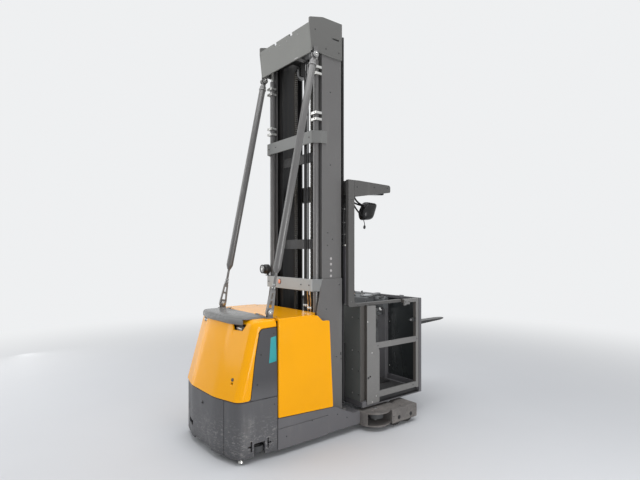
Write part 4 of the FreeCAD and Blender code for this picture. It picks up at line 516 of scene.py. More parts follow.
def dress(node, finish, edge):
    """Cleaned copy of a solid with edges rounded in millimetres and its finish, in the solid's place."""
    source = frame["nodes"][node]
    mesh = bpy.data.meshes.new(node + "_dressed")
    for merge in (True, False):
        work = bmesh.new()
        work.from_mesh(source.data)
        bmesh.ops.remove_doubles(work, verts=work.verts, dist=WELD)
        whole = sum(face.calc_area() for face in work.faces)
        if merge:
            bmesh.ops.dissolve_limit(work, angle_limit=FLAT, verts=work.verts, edges=work.edges)
        kept = sum(triangle_area(loops) for loops in work.calc_loop_triangles())
        work.to_mesh(mesh)
        work.free()
        if abs(kept - whole) < whole * AREA_LOSS:
            break
    soften(mesh, SOLID_ANGLE)
    mesh.materials.append(PAINT[finish])
    piece = bpy.data.objects.new(node + "_dressed", mesh)
    link(piece)
    if edge > 0:
        round_edges(piece, edge * MM)
    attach(piece, source["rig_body"])
    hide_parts(node)


# Node, finish and edge radius in millimetres
DRESSING = [
    ("chassis_frame", "grey", 2.5),
    ("load_arms", "casting", 4),
    ("wheel_axles", "zinc", 1),
    ("rear_roller_brackets", "dark", 2),
    ("rear_feet", "bright", 2),
    ("rear_skirt", "skirt", 3),
    ("rear_hood", "yellow", 6),
    ("hood_lid", "lid", 4),
    ("battery_cover", "yellow", 4),
    ("battery", "black", 4),
    ("battery_door_right", "yellow", 4),
    ("battery_door_left", "yellow", 4),
    ("steer_turntable", "dark", 2),
    ("drive_motor", "dark", 3),
    ("drive_wheel", "tyre", 3),
    ("mast_rails", "mast", 2),
    ("mast_foot_plates", "mast", 2),
    ("mast_braces", "brace", 3),
    ("mast_cover", "cover", 2),
    ("lift_cylinders", "stay", 1.5),
    ("cylinder_clamps", "bright", 1.5),
    ("lift_rods", "bright", 0),
    ("inner_mast", "inner", 2),
    ("chain_sheaves", "zinc", 1),
    ("stays", "stay", 1),
    ("stay_links", "link", 2),
    ("stay_feet", "mast", 2),
    ("brace_lamp", "black", 2),
    ("cab_floor", "grey", 3),
    ("cab_rear_wall", "wall", 2),
    ("cab_carriage", "dark", 2),
    ("cab_front_frame", "grey", 4),
    ("cab_front_panels", "panel", 2),
    ("control_console", "console", 5),
    ("guard_posts", "guard", 4),
    ("overhead_guard", "guard", 3),
    ("side_gate_right", "gate", 3),
    ("side_gate_left", "gate", 3),
    ("fork_mast", "grey", 2),
    ("fork_carriage", "grey", 2),
    ("forks", "dark", 3),
]
for node in frame["nodes"]:
    for start, finish in (("load_wheel", "tyre"), ("guide_roller", "roller")):
        if node.startswith(start):
            DRESSING.append((node, finish, 3))
for row in DRESSING:
    dress(*row)

# Small parts

TREES = {}
SIDES = (1, -1)
UP, DOWN, FORWARD, BACK, RIGHT = (0, 0, 1), (0, 0, -1), (0, 1, 0), (0, -1, 0), (1, 0, 0)

# Stations where rays start: beside the truck, behind it, above the body and above the desk
BESIDE = 700
BEHIND = -600
ABOVE_BODY = 1400
ABOVE_DESK = 1300


def touch(node, x, y, z, direction):
    """Where a ray from a station first meets a solid: the point in stations and its normal."""
    if node not in TREES:
        mesh = frame["nodes"][node].data
        points = [vertex.co.copy() for vertex in mesh.vertices]
        TREES[node] = BVHTree.FromPolygons(points, [tuple(face.vertices) for face in mesh.polygons])
    found, normal, _, _ = TREES[node].ray_cast(at(x, y, z), Vector(direction).normalized())
    if found is None:
        raise ValueError("nothing of " + node + " in front of the ray")
    if normal.dot(Vector(direction)) > 0:
        normal = -normal
    return (found.x / MM, (found.y - SEAM_Y) / MM, found.z / MM), normal


def facing(point, direction, spin=0):
    """Matrix with its origin at a station and its own Z along a direction."""
    turn = Vector(direction).to_track_quat("Z", "Y").to_matrix().to_4x4()
    return Matrix.Translation(at(*point)) @ turn @ Matrix.Rotation(math.radians(spin), 4, "Z")


def laid(point, normal):
    """Matrix on a top face: X across the truck, Z along the face's normal."""
    up = Vector(normal).normalized()
    across = (Vector(RIGHT) - up * up.x).normalized()
    return Matrix.Translation(at(*point)) @ Matrix((across, up.cross(across), up)).transposed().to_4x4()


def chance_turn():
    """Turn of a bolt head in degrees, as the spanner left it."""
    return RNG.uniform(0.0, 60.0)


def ring_faces(work, rings):
    """Closed skin over rings of as many vertices each."""
    for lower, upper in zip(rings, rings[1:]):
        for i in range(len(lower)):
            j = (i + 1) % len(lower)
            work.faces.new((lower[i], lower[j], upper[j], upper[i]))
    work.faces.new(rings[0][::-1])
    work.faces.new(rings[-1])


class Kit:
    """Joined small parts of one body, made from bevelled blocks, turnings, plates and pipes."""

    def __init__(self, name, body="root"):
        self.name = name
        self.body = body
        self.work = bmesh.new()
        self.finishes = []

    def join(self, part, finish, matrix=None):
        """Add a part that is made in millimetres round the matrix's origin, or in metres without one."""
        if finish not in self.finishes:
            self.finishes.append(finish)
        for face in part.faces:
            face.material_index = self.finishes.index(finish)
        if matrix is not None:
            bmesh.ops.transform(part, matrix=matrix @ Matrix.Scale(MM, 4), verts=part.verts)
        mesh = bpy.data.meshes.new("part")
        part.to_mesh(mesh)
        part.free()
        self.work.from_mesh(mesh)
        bpy.data.meshes.remove(mesh)

    def block(self, finish, low, high, edge=1.5, matrix=None):
        """Block with rounded edges between two corners, given in either order along X."""
        x0, x1 = sorted((low[0], high[0]))
        low, high = (x0, low[1], low[2]), (x1, high[1], high[2])
        part = bmesh.new()
        bmesh.ops.create_cube(part, size=1.0)
        size = [b - a for a, b in zip(low, high)]
        centre = [(a + b) / 2.0 for a, b in zip(low, high)]
        bmesh.ops.scale(part, vec=size, verts=part.verts)
        edge = min([edge] + [length * BEVEL_SHARE for length in size])
        bmesh.ops.bevel(part, geom=part.edges[:], offset=edge, segments=2, profile=0.5, affect="EDGES")
        if matrix is None:
            matrix = Matrix.Translation(at(*centre))
        else:
            bmesh.ops.translate(part, vec=centre, verts=part.verts)
        self.join(part, finish, matrix)

    def turned(self, finish, point, direction, profile, steps=24, spin=0):
        """Turned part: radius and height pairs round a direction."""
        part = bmesh.new()
        rings = []
        for radius, height in profile:
            ring = []
            for i in range(steps):
                angle = 2.0 * math.pi * i / steps
                ring.append(part.verts.new((radius * math.cos(angle), radius * math.sin(angle), height)))
            rings.append(ring)
        ring_faces(part, rings)
        bmesh.ops.remove_doubles(part, verts=part.verts, dist=0.001)
        bmesh.ops.recalc_face_normals(part, faces=part.faces)
        self.join(part, finish, facing(point, direction, spin))

    def plate(self, finish, outline, thick, matrix):
        """Flat plate with an outline in its own X and Y, raised along its own Z."""
        part = bmesh.new()
        ring_faces(part, [[part.verts.new((x, y, z)) for x, y in outline] for z in (0.0, thick)])
        bmesh.ops.recalc_face_normals(part, faces=part.faces)
        self.join(part, finish, matrix)

    def pipe(self, finish, points, radius):
        """Round pipe on a smooth line through stations."""
        curve = bpy.data.curves.new("line", "CURVE")
        curve.dimensions = "3D"
        curve.bevel_depth = radius * MM
        curve.bevel_resolution = 2
        curve.use_fill_caps = True
        curve.resolution_u = 8
        spline = curve.splines.new("NURBS")
        spline.points.add(len(points) - 1)
        for knot, point in zip(spline.points, points):
            knot.co = at(*point).to_4d()
        spline.order_u = min(4, len(points))
        spline.use_endpoint_u = True
        holder = bpy.data.objects.new("line", curve)
        mesh = bpy.data.meshes.new_from_object(holder)
        part = bmesh.new()
        part.from_mesh(mesh)
        bpy.data.objects.remove(holder)
        bpy.data.curves.remove(curve)
        bpy.data.meshes.remove(mesh)
        self.join(part, finish)

    def bolt(self, point, direction, size=6, finish="bright", spin=0):
        """Hexagon bolt head on a washer."""
        washer = [(size * 1.15, -0.5), (size * 1.15, size * 0.18), (size, size * 0.22)]
        head = [(size * 0.9, size * 0.2), (size * 0.9, size * 0.66), (size * 0.72, size * 0.78),
                (size * 0.5, size * 0.70)]
        self.turned("zinc", point, direction, washer, 20)
        self.turned(finish, point, direction, head, 6, spin)

    def screw(self, point, direction, size=5, finish="zinc"):
        """Domed screw with a socket, its dark inside painted as a black hexagon."""
        dome = [(size, -0.4), (size, size * 0.15), (size * 0.85, size * 0.36), (size * 0.5, size * 0.5),
                (size * 0.42, size * 0.5), (size * 0.36, size * 0.2)]
        self.turned(finish, point, direction, dome, 14)
        # Painted shade: a black hexagon stands for the dark inside of the socket.
        self.turned("black", point, direction, [(size * 0.36, size * 0.1), (size * 0.36, size * 0.24)], 6)

    def screws(self, node, side, rows, size, finish="dark"):
        """Screws on one side of a solid at (y, z) places."""
        for y, z in rows:
            self.screw(*touch(node, side * BESIDE, y, z, (-side, 0, 0)), size, finish)

    def bolts(self, node, side, rows, size, finish="dark"):
        """Hexagon bolts on one side of a solid at (y, z) places."""
        for y, z in rows:
            self.bolt(*touch(node, side * BESIDE, y, z, (-side, 0, 0)), size, finish, chance_turn())

    def done(self):
        """Finish the joined parts as one piece on its body."""
        mesh = bpy.data.meshes.new(self.name)
        self.work.to_mesh(mesh)
        self.work.free()
        soften(mesh, EDGE_ANGLE)
        for finish in self.finishes:
            mesh.materials.append(PAINT[finish])
        piece = bpy.data.objects.new(self.name, mesh)
        link(piece)
        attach(piece, self.body)
        return piece


def rounded(points, radius, steps):
    """Outline with its corners rounded."""
    made = []
    count = len(points)
    for i in range(count):
        here = Vector(points[i])
        before = Vector(points[i - 1]) - here
        after = Vector(points[(i + 1) % count]) - here
        reach = min(radius, before.length * 0.45, after.length * 0.45)
        start, end = here + before.normalized() * reach, here + after.normalized() * reach
        for k in range(steps + 1):
            t = k / steps
            made.append(tuple(start * (1 - t) ** 2 + here * 2 * t * (1 - t) + end * t ** 2))
    return made


def loose_boxes(node):
    """Boxes of the separate solids of a node."""
    work = bmesh.new()
    work.from_mesh(frame["nodes"][node].data)
    bmesh.ops.remove_doubles(work, verts=work.verts, dist=WELD)
    left = set(work.verts)
    boxes = []
    while left:
        group, front = set(), [left.pop()]
        while front:
            vert = front.pop()
            group.add(vert)
            for edge in vert.link_edges:
                other = edge.other_vert(vert)
                if other in left:
                    left.discard(other)
                    front.append(other)
        boxes.append(corners(group))
    work.free()
    return sorted(boxes, key=lambda pair: tuple(pair[0]))


# Rear body and yellow top

LOCK_X, LOCK_Z = 372, 640
LATCH_X, LATCH_Z, LATCH_INSET = 303, 1022, 26
TOW_Y = -322
LABEL_CORNERS = ((6, 748), (74, 757), (74, 958), (24, 948))
LABEL_SHARES = (0.0, 0.015, 0.2, 0.4, 0.6, 0.8, 0.985, 1.0)
LABEL_LIFT, LABEL_SUNK = 0.5, -0.3


def sticker(kit, finish, node, corners_yz):
    """Thin label that follows the right flank between four corners given as (y, z)."""
    work = bmesh.new()
    rows = []
    a, b, c, d = (Vector(corner) for corner in corners_yz)
    for v in LABEL_SHARES:
        row = []
        for u in LABEL_SHARES:
            spot = a.lerp(b, u).lerp(d.lerp(c, u), v)
            found, out = touch(node, 600, spot.x, spot.y, (-1, 0, 0))
            rim = min(u, v, 1.0 - u, 1.0 - v) < 0.001
            row.append(work.verts.new(at(*found) + out * MM * (LABEL_SUNK if rim else LABEL_LIFT)))
        rows.append(row)
    for low, top in zip(rows, rows[1:]):
        for i in range(len(row) - 1):
            work.faces.new((low[i], low[i + 1], top[i + 1], top[i]))
    bmesh.ops.recalc_face_normals(work, faces=work.faces)
    kit.join(work, finish)


def make_body_fittings():
    """Lock, latches, label, screws and tow pin on the rear body."""
    kit = Kit("body_fittings")
    spot, out = touch("rear_hood", LOCK_X, BEHIND, LOCK_Z, FORWARD)
    kit.turned("dark", spot, out, [(13, -3), (13, 2), (11.5, 3.2), (8, 3.2), (7.5, 1.5)], 28)
    kit.turned("black", spot, out, [(7.5, 0.2), (7.5, 1.8)], 20)
    kit.block("zinc", (-1.3, -5, 1.6), (1.3, 5, 2.6), 0.4, facing(spot, out, 90))
    for side in SIDES:
        kit.screws("rear_skirt", side, ((-64, 826), (-100, 599)), 6.5)
        kit.screws("rear_skirt", side, ((52, 420), (52, 980), (40, 130)), 5)
        kit.screws("chassis_frame", side, ((161, 141), (420, 210), (700, 200), (810, 149)), 6)
    sticker(kit, "teal", "rear_skirt", LABEL_CORNERS)
    kit.turned("bright", (0, TOW_Y, 340), DOWN, [(11, -40), (11, 150), (8, 158)], 20)
    kit.turned("black", (0, TOW_Y, 380), UP, [(19, 0), (22, 4), (22, 14), (14, 24)], 24)
    z = LATCH_Z
    for x in (-LATCH_X, LATCH_X):
        y = touch("rear_hood", x, BEHIND, 985, FORWARD)[0][1] + LATCH_INSET
        kit.block("black", (x - 58, y, z - 26), (x + 58, y + 10, z + 16), 3)
        kit.block("zinc", (x - 40, y - 9, z - 20), (x + 40, y + 2, z + 4), 4)
        kit.block("bright", (x - 34, y - 13, z - 6), (x + 34, y - 8, z + 2), 2)
        for dx in (-26, 26):
            kit.screw((x + dx, y - 9, z - 13), BACK, 3.5, "bright")
    kit.done()


def make_cover_fittings():
    """Hinge caps, screws and a rubber seam on the yellow top."""
    kit = Kit("cover_fittings")
    for x in (-250, 250):
        for way in (-1, 1):
            kit.turned("bright", (x + way * 41, 42, 1108), (way, 0, 0),
                       [(3.4, -0.5), (3.4, 0.6), (2.4, 1.2)], 14)
    for x, y in ((-395, 130), (395, 130), (-395, 420), (395, 420)):
        kit.screw(*touch("battery_cover", x, y, ABOVE_BODY, DOWN), 6, "dark")
    kit.block("rubber", (-300, 46, 1093), (300, 52, 1096.5), 1)
    kit.done()


# Fixed mast

STAY_FOOT = Vector((412, 53, 1142))
STAY_HEAD = Vector((412, 508, 3330))
LOW_COLLARS = ((190, 19, "bright", 6), (214, 17, "zinc", 6), (350, 25, "bright", 32))
HIGH_COLLAR = (36, "zinc", 32)
HIGH_COLLAR_DROP = 96
DISC_Y, DISC_LEVELS = 707, (1564, 1514, 1457, 1409)
BRACE_BOLTS_X, BRACE_BOLTS_Z = (-330, -210, 210, 330), (1331, 2636)
STRAP_END = (384, 399, 604)
SLOT_EDGES = {1: 0.4, -1: 0.0}      # rounding of the black plate that paints the slot's shade, on the right and the left foot plate


def stay_fittings(kit, side):
    """Collars along a stay and the pin heads at both its ends."""
    line = STAY_HEAD - STAY_FOOT
    for place, ring, finish, steps in LOW_COLLARS + ((line.length - HIGH_COLLAR_DROP,) + HIGH_COLLAR,):
        spot = STAY_FOOT + line.normalized() * place
        collar = [(ring * 0.9, 0), (ring, 2), (ring, 12), (ring * 0.9, 14)]
        kit.turned(finish, (side * spot.x, spot.y, spot.z), line, collar, steps)
    for end, size, inner, outer in ((STAY_FOOT, 24, 392, 432), (STAY_HEAD, 27, 385, 439)):
        for x, way in ((inner, -side), (outer, side)):
            spot, out = (side * x, end.y, end.z), (way, 0, 0)
            kit.turned("zinc", spot, out, [(size, -1), (size, 3), (size * 0.8, 5), (size * 0.6, 5)], 36)
            kit.turned("bright", spot, out, [(size * 0.55, 2), (size * 0.55, 11), (size * 0.4, 13)], 6)
            # Painted shade: a black hexagon on the pin's end stands for its dark socket.
            kit.turned("black", spot, out, [(size * 0.28, 12), (size * 0.28, 13.4)], 6)


def clamp_fittings(kit, low, high):
    """Strap, bolts and ear of one cylinder clamp, from the clamp's box."""
    x, y, z = (low.x + high.x) / 2.0 / MM, (low.y - SEAM_Y) / MM, (low.z + high.z) / 2.0 / MM
    kit.block("bright", (x - 38, y - 2, z - 12), (x + 38, y + 6, z + 12), 2)
    kit.block("bright", (x - 33, y + 5, z - 10), (x - 28, y + 60, z + 10))
    kit.block("bright", (x + 28, y + 5, z - 10), (x + 33, y + 60, z + 10))
    for dx in (-30, 30):
        kit.bolt((x + dx, y - 2, z), BACK, 6.5, "bright", chance_turn())
    side = math.copysign(1.0, x)
    inner, outer, front = STRAP_END
    kit.block("bright", (side * inner, y - 2, z - 11), (side * outer, front, z + 11))


def make_mast_fittings():
    """Screws, blank discs, brackets, clamp straps and reflector of the fixed mast."""
    kit = Kit("mast_fittings")
    for side in SIDES:
        kit.screws("mast_rails", side, ((670, 1795), (666, 1682), (725, 1739), (700, 2400), (700, 3050)), 6)
        kit.bolts("mast_foot_plates", side, ((812, 658), (757, 683), (640, 1120), (790, 1330)), 7.5)
        kit.screws("mast_cover", side, ((640, 3420), (790, 3420), (520, 3560)), 6.5)
        # Painted shade: a thin black plate stands for the dark inside of the slot.
        kit.block("black", (side * 411.5, 807, 690), (side * 413, 819, 716), SLOT_EDGES[side])
        stay_fittings(kit, side)
    for low, high in loose_boxes("cylinder_clamps"):
        clamp_fittings(kit, low, high)
    for z in DISC_LEVELS:
        spot, out = touch("mast_rails", 600, DISC_Y, z, (-1, 0, 0))
        kit.turned("pale", spot, out, [(12, -0.2), (12, 0.5), (11.6, 0.7)], 32)
    spot, out = touch("mast_braces", -140, 300, 1340, FORWARD)
    kit.turned("black", spot, out, [(25, -2), (25, 3), (23.5, 4.5), (20.5, 4.5)], 36)
    kit.turned("orange", spot, out, [(21, 2), (21, 4.6), (13, 6), (3, 6.6)], 36)
    for x in BRACE_BOLTS_X:
        for z in BRACE_BOLTS_Z:
            kit.bolt(*touch("mast_braces", x, 300, z, FORWARD), 7, "dark", chance_turn())
    for x in (-230, -60, 60, 230):
        kit.screw(*touch("mast_cover", x, 200, 3560, FORWARD), 5.5)
    kit.done()


HOSES_X, HOSES_Y, HOSE_LEVELS = (150, 176, 202), 600, (171, 1100, 2300, 3374)
CLIPS = ((1330, 526), (2630, 526), (3362, 479))     # level, face of the wall behind
NUT = [(9, 0), (10, 2), (10, 9), (6.5, 12)]
PIPES = ((262, "copper"), (280, "hose"), (300, "copper"))
PIPE_ROUTE = ((0, 534, 1030), (0, 552, 1030), (0, 557, 1056), (0, 556, 1120), (0, 556, 1190),
              (-3, 550, 1240), (-3, 547, 1300))


def make_mast_lines():
    """Hydraulic pipes and hoses clipped inside the fixed mast, with the copper ends at its foot."""
    kit = Kit("mast_lines")
    for x in HOSES_X:
        kit.pipe("hose", [(x, HOSES_Y, z) for z in HOSE_LEVELS], 7)
        kit.turned("bright", (x, HOSES_Y, 1118), UP, [(9, 0), (10.5, 2), (10.5, 22), (8, 26)], 6)
    for z, wall in CLIPS:
        kit.block("black", (138, 588, z), (214, 612, z + 16), 3)
        kit.block("zinc", (146, wall, z + 4), (206, 589, z + 12), 1)
    for x, finish in PIPES:
        kit.pipe(finish, [(x + dx, y, z) for dx, y, z in PIPE_ROUTE], 4.5)
        kit.turned("bright", (x, 535.5, 1030), FORWARD, NUT, 6)
        kit.turned("bright", (x - 3, 547, 1297), DOWN, NUT, 6)
        kit.turned("bright", (x, 556, 1112), UP, [(8, 0), (9, 2), (9, 18), (6, 22)], 6)
    kit.block("zinc", (244, 526.5, 1296), (314, 562, 1336), 2.5)
    for x in (254, 304):
        kit.bolt((x, 562, 1316), FORWARD, 5.5)
    kit.done()


def make_lamp():
    """Work lamp on the lower brace: rim, lens, centre cap, lead and the bolts at its sides."""
    kit = Kit("lamp_parts")
    low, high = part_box("brace_lamp")
    x, y, z = (low.x + high.x) / 2.0 / MM, (low.y - SEAM_Y) / MM, high.z / MM - 46
    front = (x, y + 2, z)
    kit.turned("black", front, BACK, [(42, -2), (44, 2), (44, 8), (41, 10), (37, 6)], 40)
    kit.turned("lens", front, BACK, [(37, 2), (37, 5), (28, 7.5), (12, 9), (2, 9.4)], 40)
    kit.turned("bright", front, BACK, [(12, 8), (12, 9.8), (9, 10.2)])
    kit.pipe("hose", [(x + 6, y + 58, z - 8), (x + 12, y + 74, z - 22), (x + 18, y + 66, z - 46),
                      (x + 20, 521, 1383)], 4)
    for side in (-1, 1):
        kit.bolt((x + side * 43, y + 34, z), (side, 0, 0))
    kit.done()


# Chains

CHAIN_PITCH = 19.05
CHAIN_PLATES = 7
SHORTEST_STRAND = 0.3
ON_EDGE = Matrix(((0, 0, 1, 0), (1, 0, 0, 0), (0, 1, 0, 0), (0, 0, 0, 1)))


def strand(name, body, low, high):
    """Leaf chain in the box of a plain strand: a pair of links repeated along it."""
    kit = Kit(name, body)
    span = (high.z - low.z) / MM
    pairs = int(span / (2.0 * CHAIN_PITCH))
    step = span / pairs
    x0, x1 = low.x / MM, high.x / MM
    y = ((low.y + high.y) / 2.0 - SEAM_Y) / MM
    z0 = low.z / MM
    half = (high.y - low.y) / MM / 2.0
    wide = (x1 - x0) / CHAIN_PLATES
    waist = half * 0.62
    reach = step * 0.25 + waist
    quarter = [(half, reach * 0.72), (half * 0.6, reach)]
    outline = [(-waist, -step * 0.1)] + [(-a, -b) for a, b in quarter] + [(a, -b) for a, b in quarter[::-1]]
    outline += [(waist, -step * 0.1), (waist, step * 0.1)] + quarter + [(-a, b) for a, b in quarter[::-1]]
    outline.append((-waist, step * 0.1))
    for i in range(CHAIN_PLATES):
        centre = z0 + step * (0.25 if i % 2 else 0.75)
        kit.plate("chain", outline, wide * 0.82, Matrix.Translation(at(x0 + wide * i, y, centre)) @ ON_EDGE)
    for rise in (0.0, 0.5):
        pin = [(half * 0.42, -1), (half * 0.42, x1 - x0)]
        kit.turned("bright", (x0, y, z0 + step * rise), RIGHT, pin, 8)
    piece = kit.done()
    array = piece.modifiers.new("links", "ARRAY")
    array.use_relative_offset = False
    array.use_constant_offset = True
    array.constant_offset_displace = (0.0, 0.0, step * MM)
    array.count = pairs
    return piece


def make_chains():
    """Leaf chains in place of the plain strands."""
    for node in ("chains_fixed", "chains_moving"):
        body = frame["nodes"][node]["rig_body"]
        pieces = []
        for i, (low, high) in enumerate(loose_boxes(node)):
            if high.z - low.z > SHORTEST_STRAND:
                pieces.append(strand("%s_strand_%d" % (node, i), body, low, high))
        for piece in pieces:
            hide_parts(node)


# Cab

MIRROR_RIM = rounded([(1086, 1922), (1062, 1990), (1128, 2100), (1284, 2094), (1218, 1932)], 36, 6)
MIRROR_SHELL = [(0.93, 0.0), (1.0, 0.06), (1.0, 0.26), (0.97, 0.46), (0.90, 0.66), (0.78, 0.82),
                (0.60, 0.92), (0.36, 0.98), (0.12, 1.0)]     # share of the rim, share of the depth
MIRROR_GLASS = [(0.90, 0.0), (0.90, 0.6), (0.88, 1.0)]
MIRROR_ARMS = [
    ("pit", 8.5, [(384, 971, 2190), (384, 971, 2120), (386, 976, 2084), (390, 1030, 2070),
                  (400, 1110, 2056)]),
    ("pit", 8, [(424, 952, 2186), (420, 962, 2130), (404, 1000, 2090), (402, 1090, 2064)]),
    ("pit", 8, [(392, 976, 2084), (398, 1000, 2030), (408, 1052, 1976), (410, 1092, 1956)]),
    ("pit", 9, [(420, 938, 2070), (408, 960, 2062), (396, 980, 2074), (388, 990, 2082)]),
]
MIRROR_CLAMPS = [
    ((388, 962, 2084), FORWARD, [(12, 0), (15, 3), (15, 24), (11, 30)]),
    ((392, 1106, 2058), RIGHT, [(14, 0), (17, 3), (17, 26), (13, 32)]),
    ((384, 971, 2192), DOWN, [(17, 0), (17, 8), (12, 16), (9, 30)]),
    ((424, 952, 2190), DOWN, [(15, 0), (15, 7), (11, 14), (8, 24)]),
]
MIRROR_STEM = [(404, 1092, 1950), (404, 1104, 1922), (404, 1120, 1900), (404, 1118, 1870)]


def domed(kit, finish, rim, x0, x1, levels):
    """Closed dome over an outline of (y, z) points between two stations along X."""
    cy = sum(p[0] for p in rim) / len(rim)
    cz = sum(p[1] for p in rim) / len(rim)
    part = bmesh.new()
    rings = []
    for share, rise in levels:
        x = x0 + (x1 - x0) * rise
        rings.append([part.verts.new(at(x, cy + (y - cy) * share, cz + (z - cz) * share)) for y, z in rim])
    ring_faces(part, rings)
    bmesh.ops.recalc_face_normals(part, faces=part.faces)
    kit.join(part, finish)


def make_mirror():
    """Domed mirror housing, its glass, clamps and bent arms."""
    kit = Kit("mirror_unit", "cab")
    domed(kit, "gloss_black", MIRROR_RIM, 366, 448, MIRROR_SHELL)
    domed(kit, "mirror_glass", MIRROR_RIM, 367, 365.2, MIRROR_GLASS)
    for finish, radius, points in MIRROR_ARMS:
        kit.pipe(finish, points, radius)
    for place, way, profile in MIRROR_CLAMPS:
        kit.turned("black", place, way, profile, 20)
    kit.pipe("black", MIRROR_STEM, 3.6)
    knob = [(5, 0), (10, 4), (12, 14), (11, 26), (6, 34)]
    kit.turned("black", (404, 1118, 1874), (0, -0.1, -1), knob, 20)
    piece = kit.done()
    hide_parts("mirror")


DUCT_OUT, DUCT_JOINT, DUCT_TOP = 433, 1690, 2140


def make_guard_fittings():
    """Ducts with hoses beside the mast, roof lamps and fixings of the guard."""
    kit = Kit("guard_fittings", "cab")
    for side in SIDES:
        out = side * DUCT_OUT
        kit.block("duct", (side * 404, 848, 1150), (out, 890, DUCT_JOINT), 3)
        kit.block("bright", (side * 403, 846, DUCT_JOINT - 14), (out + side, 892, DUCT_JOINT + 4))
        # Painted shade: a near-black block above the joint stands for the dark open inside of the duct.
        kit.block("pit", (side * 400, 852, DUCT_JOINT), (out, 894, DUCT_TOP), 2)
        kit.pipe("hose", [(side * 408, 850, DUCT_JOINT), (side * 406, 846, 1850), (side * 410, 850, 2000),
                          (side * 418, 864, 2136)], 6)
        kit.pipe("hose", [(side * 424, 850, DUCT_JOINT), (side * 424, 850, 1900),
                          (side * 424, 862, 2136)], 5)
        for z in (1780, 1885, 2010):
            kit.block("zinc", (side * 416 - 15, 842, z), (side * 416 + 15, 856, z + 9))
        kit.block("pit", (side * 330, 1204, 2174), (side * 432, 1352, 2196), 8)
        kit.block("lens", (side * 342, 1216, 2171), (side * 420, 1340, 2176), 2)
        kit.bolts("guard_posts", side, ((892, 1168), (892, 2100), (892, 2060), (960, 1136)), 6.5)
        kit.screws("overhead_guard", side, ((960, 2220), (1180, 2232), (1360, 2240)), 6)
        kit.pipe("hose", [(side * 424, 866, 2136), (side * 424, 930, 2168), (side * 420, 1100, 2176),
                          (side * 400, 1206, 2180)], 5)
    kit.done()


SILL_START, SILL_END = 1226, 1786


def make_cab_fittings():
    """Floor mat, pedal, wall bolts, sills and small hardware of the cab."""
    kit = Kit("cab_fittings", "cab")
    kit.block("mat", (-438, 1060, 239), (438, 1752, 243.5))
    kit.block("zinc", (-442, 1056, 239), (442, 1060, 246), 1)
    kit.block("black", (40, 1560, 242), (180, 1700, 258), 5)
    for i in range(6):
        kit.block("rubber", (52, 1572 + 21 * i, 256), (168, 1582 + 21 * i, 261))
    for x in (-450, -364, 364, 450):
        for z in (302, 522, 701, 1010):
            finish = "bright" if abs(x) < 400 else "dark"
            kit.bolt(*touch("cab_rear_wall", x, 960, z, FORWARD), 7, finish, chance_turn())
    for x in (-200, 200):
        for z in (400, 700, 1000):
            kit.screw(*touch("cab_rear_wall", x, 1300, z, BACK), 6)
    for side in SIDES:
        kit.block("black", (side * 475, SILL_START, 199.5), (side * 478, SILL_END, 238), 0.8)
        kit.block("black", (side * 477, SILL_START, 199), (side * 497, SILL_END, 202), 0.8)
        for z in (380, 620, 860, 1060):
            for x in (side * 78, side * 440):
                kit.screw(*touch("cab_front_panels", x, 1300, z, FORWARD), 6, "bright")
    kit.done()


def make_console():
    """Display, buttons, levers, key and stop button of the control desk, and the column's knob."""
    kit = Kit("console_parts", "cab")

    def turnings(spot, out, rows):
        for finish, steps, profile in rows:
            kit.turned(finish, spot, out, profile, steps)

    def on_top(x, y):
        return touch("control_console", x, y, ABOVE_DESK, DOWN)

    def on_front(x, z):
        return touch("control_console", x, 1400, z, FORWARD)

    display = laid(*on_top(-118, 1668))
    kit.block("black", (-84, -46, -2), (84, 46, 6), 4, display)
    kit.block("screen", (-72, -35, 5), (40, 35, 7.2), 1, display)
    for row in range(3):
        for column in range(2):
            x, y = 52 + 15 * column, -24 + 22 * row
            finish = "panel" if (row + column) % 2 else "moulded_grey"
            kit.block(finish, (x - 5, y - 8, 5), (x + 6, y + 8, 8.4), 1.6, display)
    turnings(*on_top(-396, 1690), [
        ("yellow", 36, [(27, -1), (27, 3), (25, 4), (14, 4)]),
        ("black", 24, [(13, 2), (13, 12)]),
        ("red", 36, [(14, 10), (20, 13), (21, 19), (18, 25), (9, 28), (2, 28.4)]),
    ])
    spot, out = on_top(-256, 1716)
    kit.turned("bright", spot, out, [(12, -1), (12, 3), (10, 5), (4, 5)], 28)
    kit.block("zinc", (-1.6, -6, 4), (1.6, 6, 22), 0.8, laid(spot, out))
    kit.block("black", (-2.6, -11, 20), (2.6, 11, 42), 2.4, laid(spot, out))
    for x in (-344, -306):
        turnings(*on_top(x, 1640), [
            ("rubber", 24, [(17, -1), (16, 3), (11, 6), (13, 9), (8, 12), (9, 15), (5, 18)]),
            ("bright", 12, [(4, 14), (4, 40)]),
            ("black", 24, [(7, 36), (12, 42), (14, 54), (12, 64), (5, 70), (1, 70.6)]),
        ])
    kit.turned("black", *on_top(40, 1720), [(30, -1), (30, 6), (24, 10), (10, 11)], 36)
    turnings(*on_front(72, 1016), [
        ("black", 20, [(9, -1), (9, 8), (6, 12)]),
        ("white", 28, [(7, 10), (15, 16), (18, 26), (15, 36), (6, 42), (1, 42.6)]),
    ])
    spot, out = on_front(92, 1020)
    knob = [(6, -1), (12, 12), (14, 22), (10, 30), (2, 32)]
    kit.turned("black", (spot[0] - 3, spot[1], spot[2]), out, knob)
    for x in (-410, -230, -80):
        kit.screw(*on_front(x, 1080))
    kit.done()


